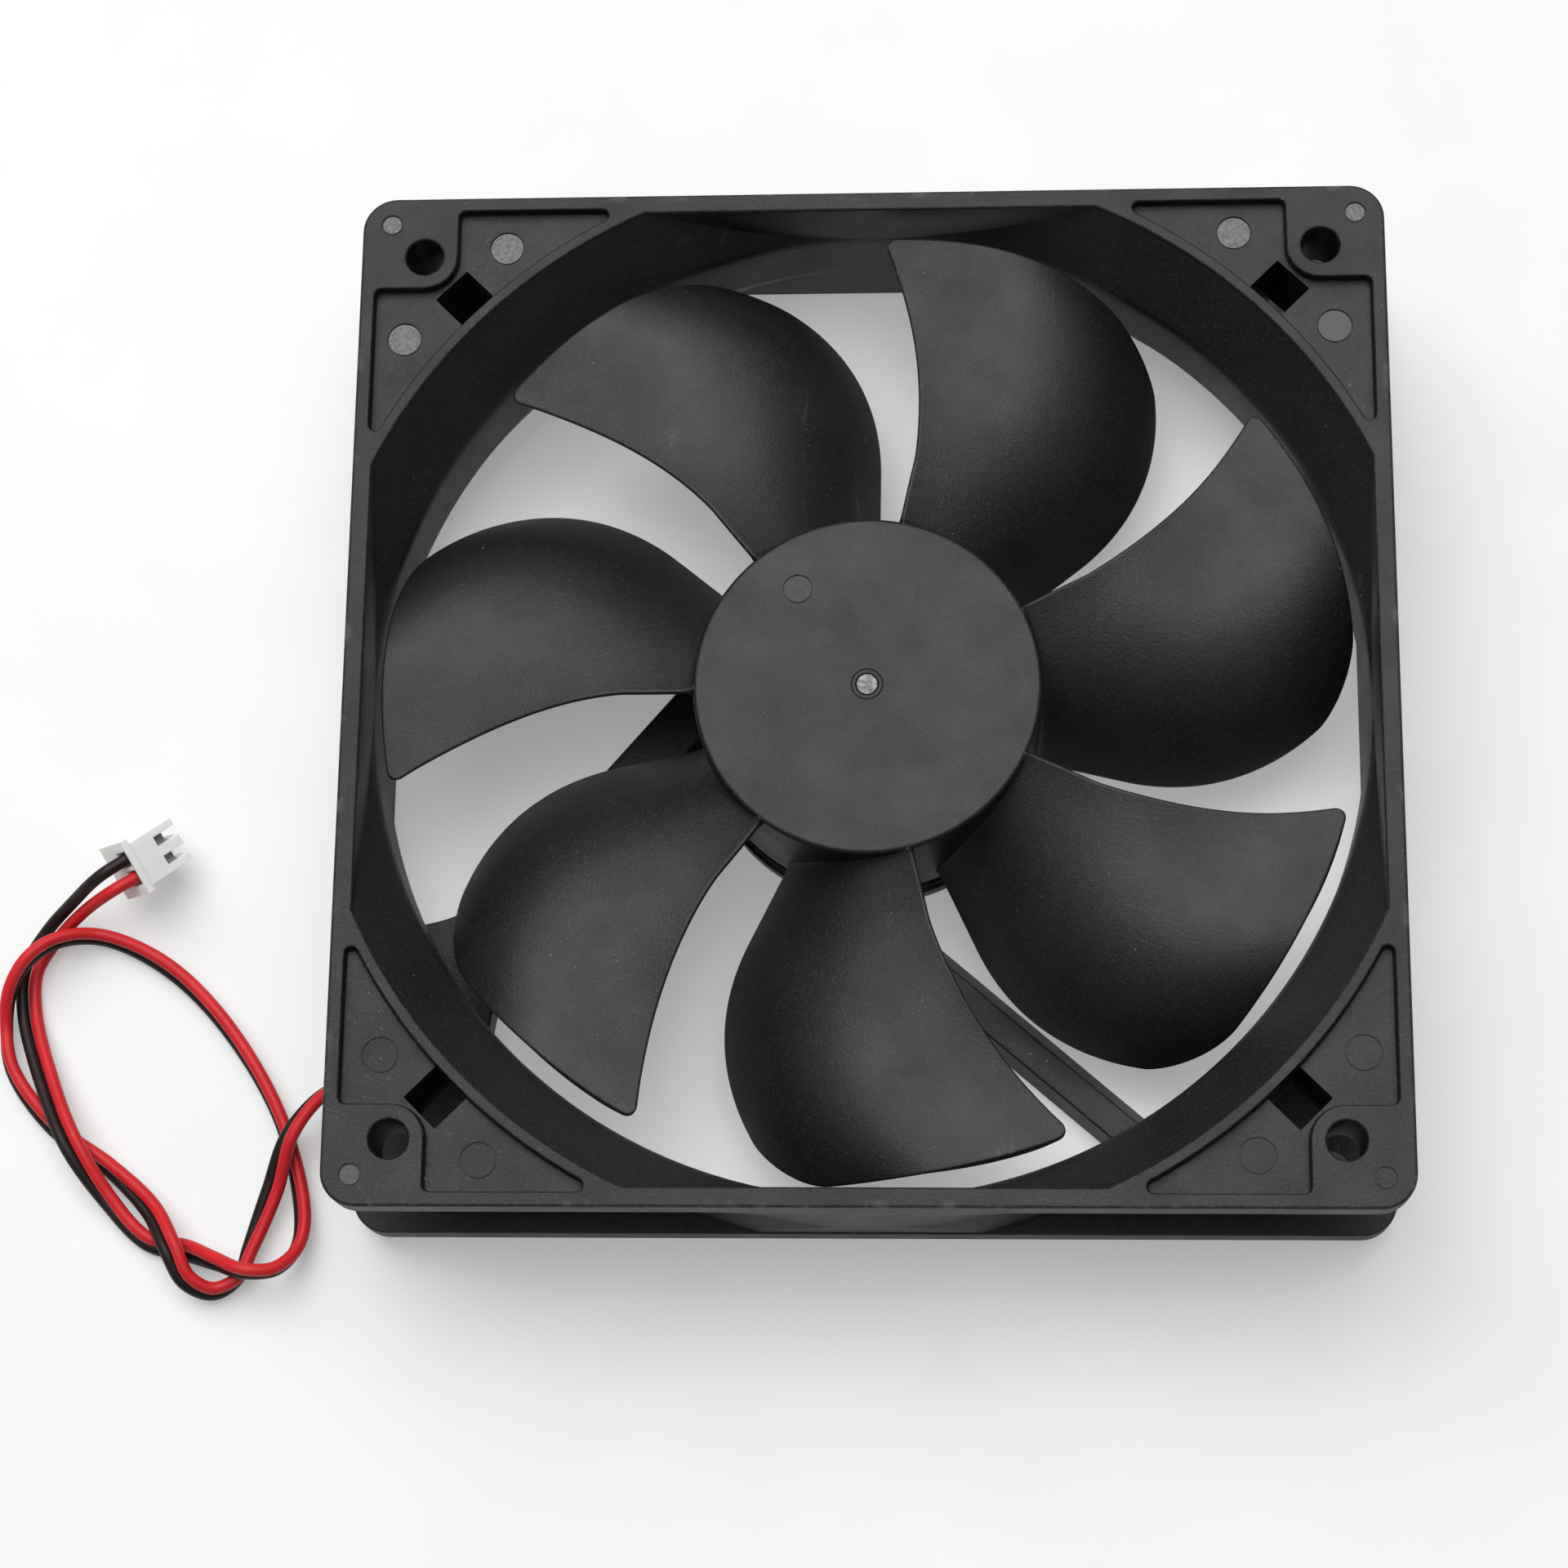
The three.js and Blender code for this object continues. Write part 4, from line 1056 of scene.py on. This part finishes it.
def blade():
    """A curved shell of even thickness, flared at its root and thinner towards its two edges."""
    spans, s = blade_grid()
    chord = chord_length(BLADE_TIP_R)
    trail_cut = corner_inset(s * chord, TRAIL_CORNER_R)
    lead_cut = corner_inset((1 - s) * chord, LEAD_CORNER_R)
    tip = BLADE_TIP_R - trail_cut - lead_cut
    r = BLADE_ROOT_R + spans * (tip - BLADE_ROOT_R)
    step = 1e-3
    across = blade_surface(r, s + step) - blade_surface(r, s - step)
    outward = blade_surface(r + step, s) - blade_surface(r - step, s)
    normal = np.cross(outward, across)
    normal /= np.linalg.norm(normal, axis=2)[:, :, None]
    from_side = np.minimum(s, 1 - s)
    flare = ROOT_FLARE * np.exp(-np.maximum(0, r - HUB_R) / ROOT_FLARE_REACH)
    half = BLADE_THICKNESS / 2 + flare
    thinning = BLADE_THINNING * np.clip(1 - from_side / BLADE_THINNED, 0, 1)
    slant = np.linalg.norm(across, axis=2) / (2 * step)
    to_edge = np.minimum(from_side * slant, tip - r)
    above = softened(to_edge, half)[:, :, None]
    below = softened(to_edge, half - thinning)[:, :, None]
    middle = blade_surface(r, s)
    return shell("blade", middle + normal * above, middle - normal * below)


def hub():
    """The hub's turned outline, with the ring and the gate mark in the middle of its face."""
    rim = [
        (HUB_R - HUB_EDGE_R * (1 - math.cos(t)), HUB_FACE - HUB_EDGE_R * (1 - math.sin(t)))
        for t in np.linspace(0, math.pi / 2, 6)
    ]
    return turned("impeller_moulding", [
        (0, HUB_FACE - HUB_SKIN), (HUB_INNER_R, HUB_FACE - HUB_SKIN), (HUB_INNER_R, HUB_LOW + 0.2),
        (HUB_INNER_R + 0.2, HUB_LOW), (HUB_R - 0.2, HUB_LOW), (HUB_R, HUB_LOW + 0.2), *rim,
        (1.86, HUB_FACE), (1.78, HUB_FACE - 0.08), (1.7, HUB_FACE - 0.02), (1.36, HUB_FACE - 0.02),
        (1.26, HUB_FACE - 0.14), (GATE_R, HUB_FACE - SPOT_DEPTH), (0, HUB_FACE - SPOT_DEPTH),
    ], 160)


def add_impeller(plastic, marks):
    body = hub()
    blades = [turn_mesh(blade(), 360 * i / BLADES) for i in range(BLADES)]
    joined(body, blades, "UNION")
    joined(body, pin_tools(*HUB_SPOT, HUB_FACE), "DIFFERENCE")
    finished(body, angle=35)
    put(body, "rotor", [plastic, *marks], ["impeller"])
    mark_floors(body, [(0, 0, GATE_R, HUB_FACE)], 0, 1)
    mark_floors(body, [(*HUB_SPOT, HUB_FACE)], 0, 2)


# ---- rear label and inner pieces --------------------------------------------------------

def add_label(material):
    low, high = LABEL_LOW.z, LABEL_HIGH.z
    outline = circle(0, 0, LABEL_HIGH.x, 120)
    label = prism("blank_label", outline, soft_levels(low, high, 0.06, 0.06, 2))
    finished(label)
    put(label, "frame", [material], ["rear_label"])


def coil_line(turn, middle_z):
    """One winding: layers of rounded loops round a tooth, as one wire."""
    line = []
    for layer in range(COIL_LAYERS):
        grow = 0.24 + COIL_PITCH * layer
        y, z, corner = 2.3 + grow, 4.9 + grow, 0.5 + grow
        loop = rounded([(y, -z, corner), (y, z, corner), (-y, z, corner), (-y, -z, corner)], 5)
        count = COIL_TURNS * len(loop)
        for k in range(count):
            share = k / count if layer % 2 == 0 else 1 - k / count
            across, up = loop[k % len(loop)]
            line.append((COIL_INNER + (COIL_OUTER - COIL_INNER) * share, across, middle_z + up))
    c, s = math.cos(turn), math.sin(turn)
    return [(x * c - y * s, x * s + y * c, z) for x, y, z in line]


def add_coils(material):
    low, high = box_mm("winding_coil_1")
    for i in range(4):
        line = coil_line(i * math.pi / 2, (low.z + high.z) / 2)
        coil = wire_curve(f"winding_{i + 1}", line, COIL_WIRE_R, resolution=1)
        put(coil, "frame", [material], [f"winding_coil_{i + 1}"])


def dress(node, material, bevel):
    """Gives a CAD node its material, and softens its edges."""
    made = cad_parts[node]
    made.data.materials.clear()
    made.data.materials.append(material)
    if bevel:
        bevel_edges(made, bevel * MM, 2)


def dress_inner_pieces():
    brass = metal("turned_brass", (0.6, 0.42, 0.17), (0.72, 0.53, 0.24), 0.22, lay=(1, 1, 9))
    nylon = dull("natural_nylon", (0.66, 0.64, 0.56), (0.74, 0.72, 0.64), 0.5, 700, 0.02)
    steel = metal("ground_steel", (0.55, 0.56, 0.58), (0.68, 0.69, 0.71), 0.16, lay=(1, 1, 12))
    tin = metal("tinned_bronze", (0.5, 0.48, 0.44), (0.66, 0.64, 0.6), 0.3, marks=1500)
    chip = dull("moulded_package", (0.012, 0.012, 0.013), (0.02, 0.02, 0.021), 0.5, 1800, 0.02)
    bronze = metal("oiled_bronze", (0.3, 0.17, 0.08), (0.42, 0.26, 0.13), 0.42)
    felt = dull("oiled_felt", (0.2, 0.17, 0.13), (0.33, 0.29, 0.23), 0.9, 1600, 0.15)
    rubber = dull("black_rubber", (0.012, 0.012, 0.012), (0.022, 0.022, 0.022), 0.8, 900, 0.03)
    zinc = metal("zinc_plate", (0.4, 0.41, 0.44), (0.55, 0.56, 0.59), 0.3)
    ferrite = dull("bonded_ferrite", (0.03, 0.03, 0.032), (0.055, 0.055, 0.057), 0.7, 1300, 0.04)
    ceramic = dull("sintered_ceramic", (0.4, 0.27, 0.15), (0.5, 0.35, 0.2), 0.5, 1500, 0.02)
    looks = {
        "bearing_tube": (brass, 0.15),
        "shaft_boss": (brass, 0.12),
        "sleeve_bearing": (bronze, 0.0),
        "lower_washer": (nylon, 0.08),
        "upper_washer": (nylon, 0.08),
        "lower_insulator": (nylon, 0.1),
        "upper_insulator": (nylon, 0.1),
        "oil_seal_ring": (felt, 0.15),
        "rubber_plug": (rubber, 0.2),
        "stator_core": (laminated_steel("lamination_stack"), 0.0),
        "rotor_yoke": (zinc, 0.2),
        "ring_magnet": (ferrite, 0.15),
        "rotor_shaft": (steel, 0.0),
        "snap_ring": (steel, 0.06),
        "circuit_board": (circuit_mask("solder_mask"), 0.05),
        "driver_chip": (chip, 0.12),
        "protection_diode": (chip, 0.1),
        "filter_capacitor": (ceramic, 0.08),
        "winding_post_1": (tin, 0.08),
        "winding_post_2": (tin, 0.08),
        "winding_post_3": (tin, 0.08),
        "crimp_contact_red": (tin, 0.06),
        "crimp_contact_black": (tin, 0.06),
    }
    for node, (material, bevel) in looks.items():
        dress(node, material, bevel)


def add_floor():
    floor = new_object("floor", [(x, y, 0) for x, y in square(FLOOR_HALF)], [[0, 1, 2, 3]])
    if floor.data.polygons[0].normal.z < 0:
        floor.data.flip_normals()
    floor.location.z = -FLOOR_DROP
    floor.data.materials.append(pale_floor("pale_floor"))


# ---- the scene --------------------------------------------------------------------------

add_camera()
connector = add_connector(white_nylon("natural_white_nylon"))
add_wires(
    insulation("red_pvc", (0.5, 0.013, 0.016), (0.6, 0.02, 0.023), 0.42),
    insulation("black_pvc", (0.011, 0.006, 0.006), (0.019, 0.0095, 0.009), 0.45),
)
add_softbox()
add_room()
add_floor()
add_frame(
    moulded_plastic("grained_black_plastic", (0.006, 0.0063, 0.0068), 2600, 0.09, 0.52, 0.8),
    # The first pin mark is a paler copy: its own scuffs plus painted sheen for the marks that catch
    # the window.
    [pin_mark("pin_mark_with_painted_sheen", 0.03, 0.16, 0.3), pin_mark("dull_pin_mark", 0.02, 0.07, 0.36)],
)
add_impeller(
    moulded_plastic("satin_black_plastic", (0.0045, 0.0052, 0.006), 3000, 0.055, 0.49),
    [pin_mark("gate_mark", 0.04, 0.4, 0.35), pin_mark("hub_pin_mark", 0.022, 0.03, 0.45)],
)
add_label(blank_sticker("blank_foil"))
add_coils(enamel("enamelled_copper"))
dress_inner_pieces()
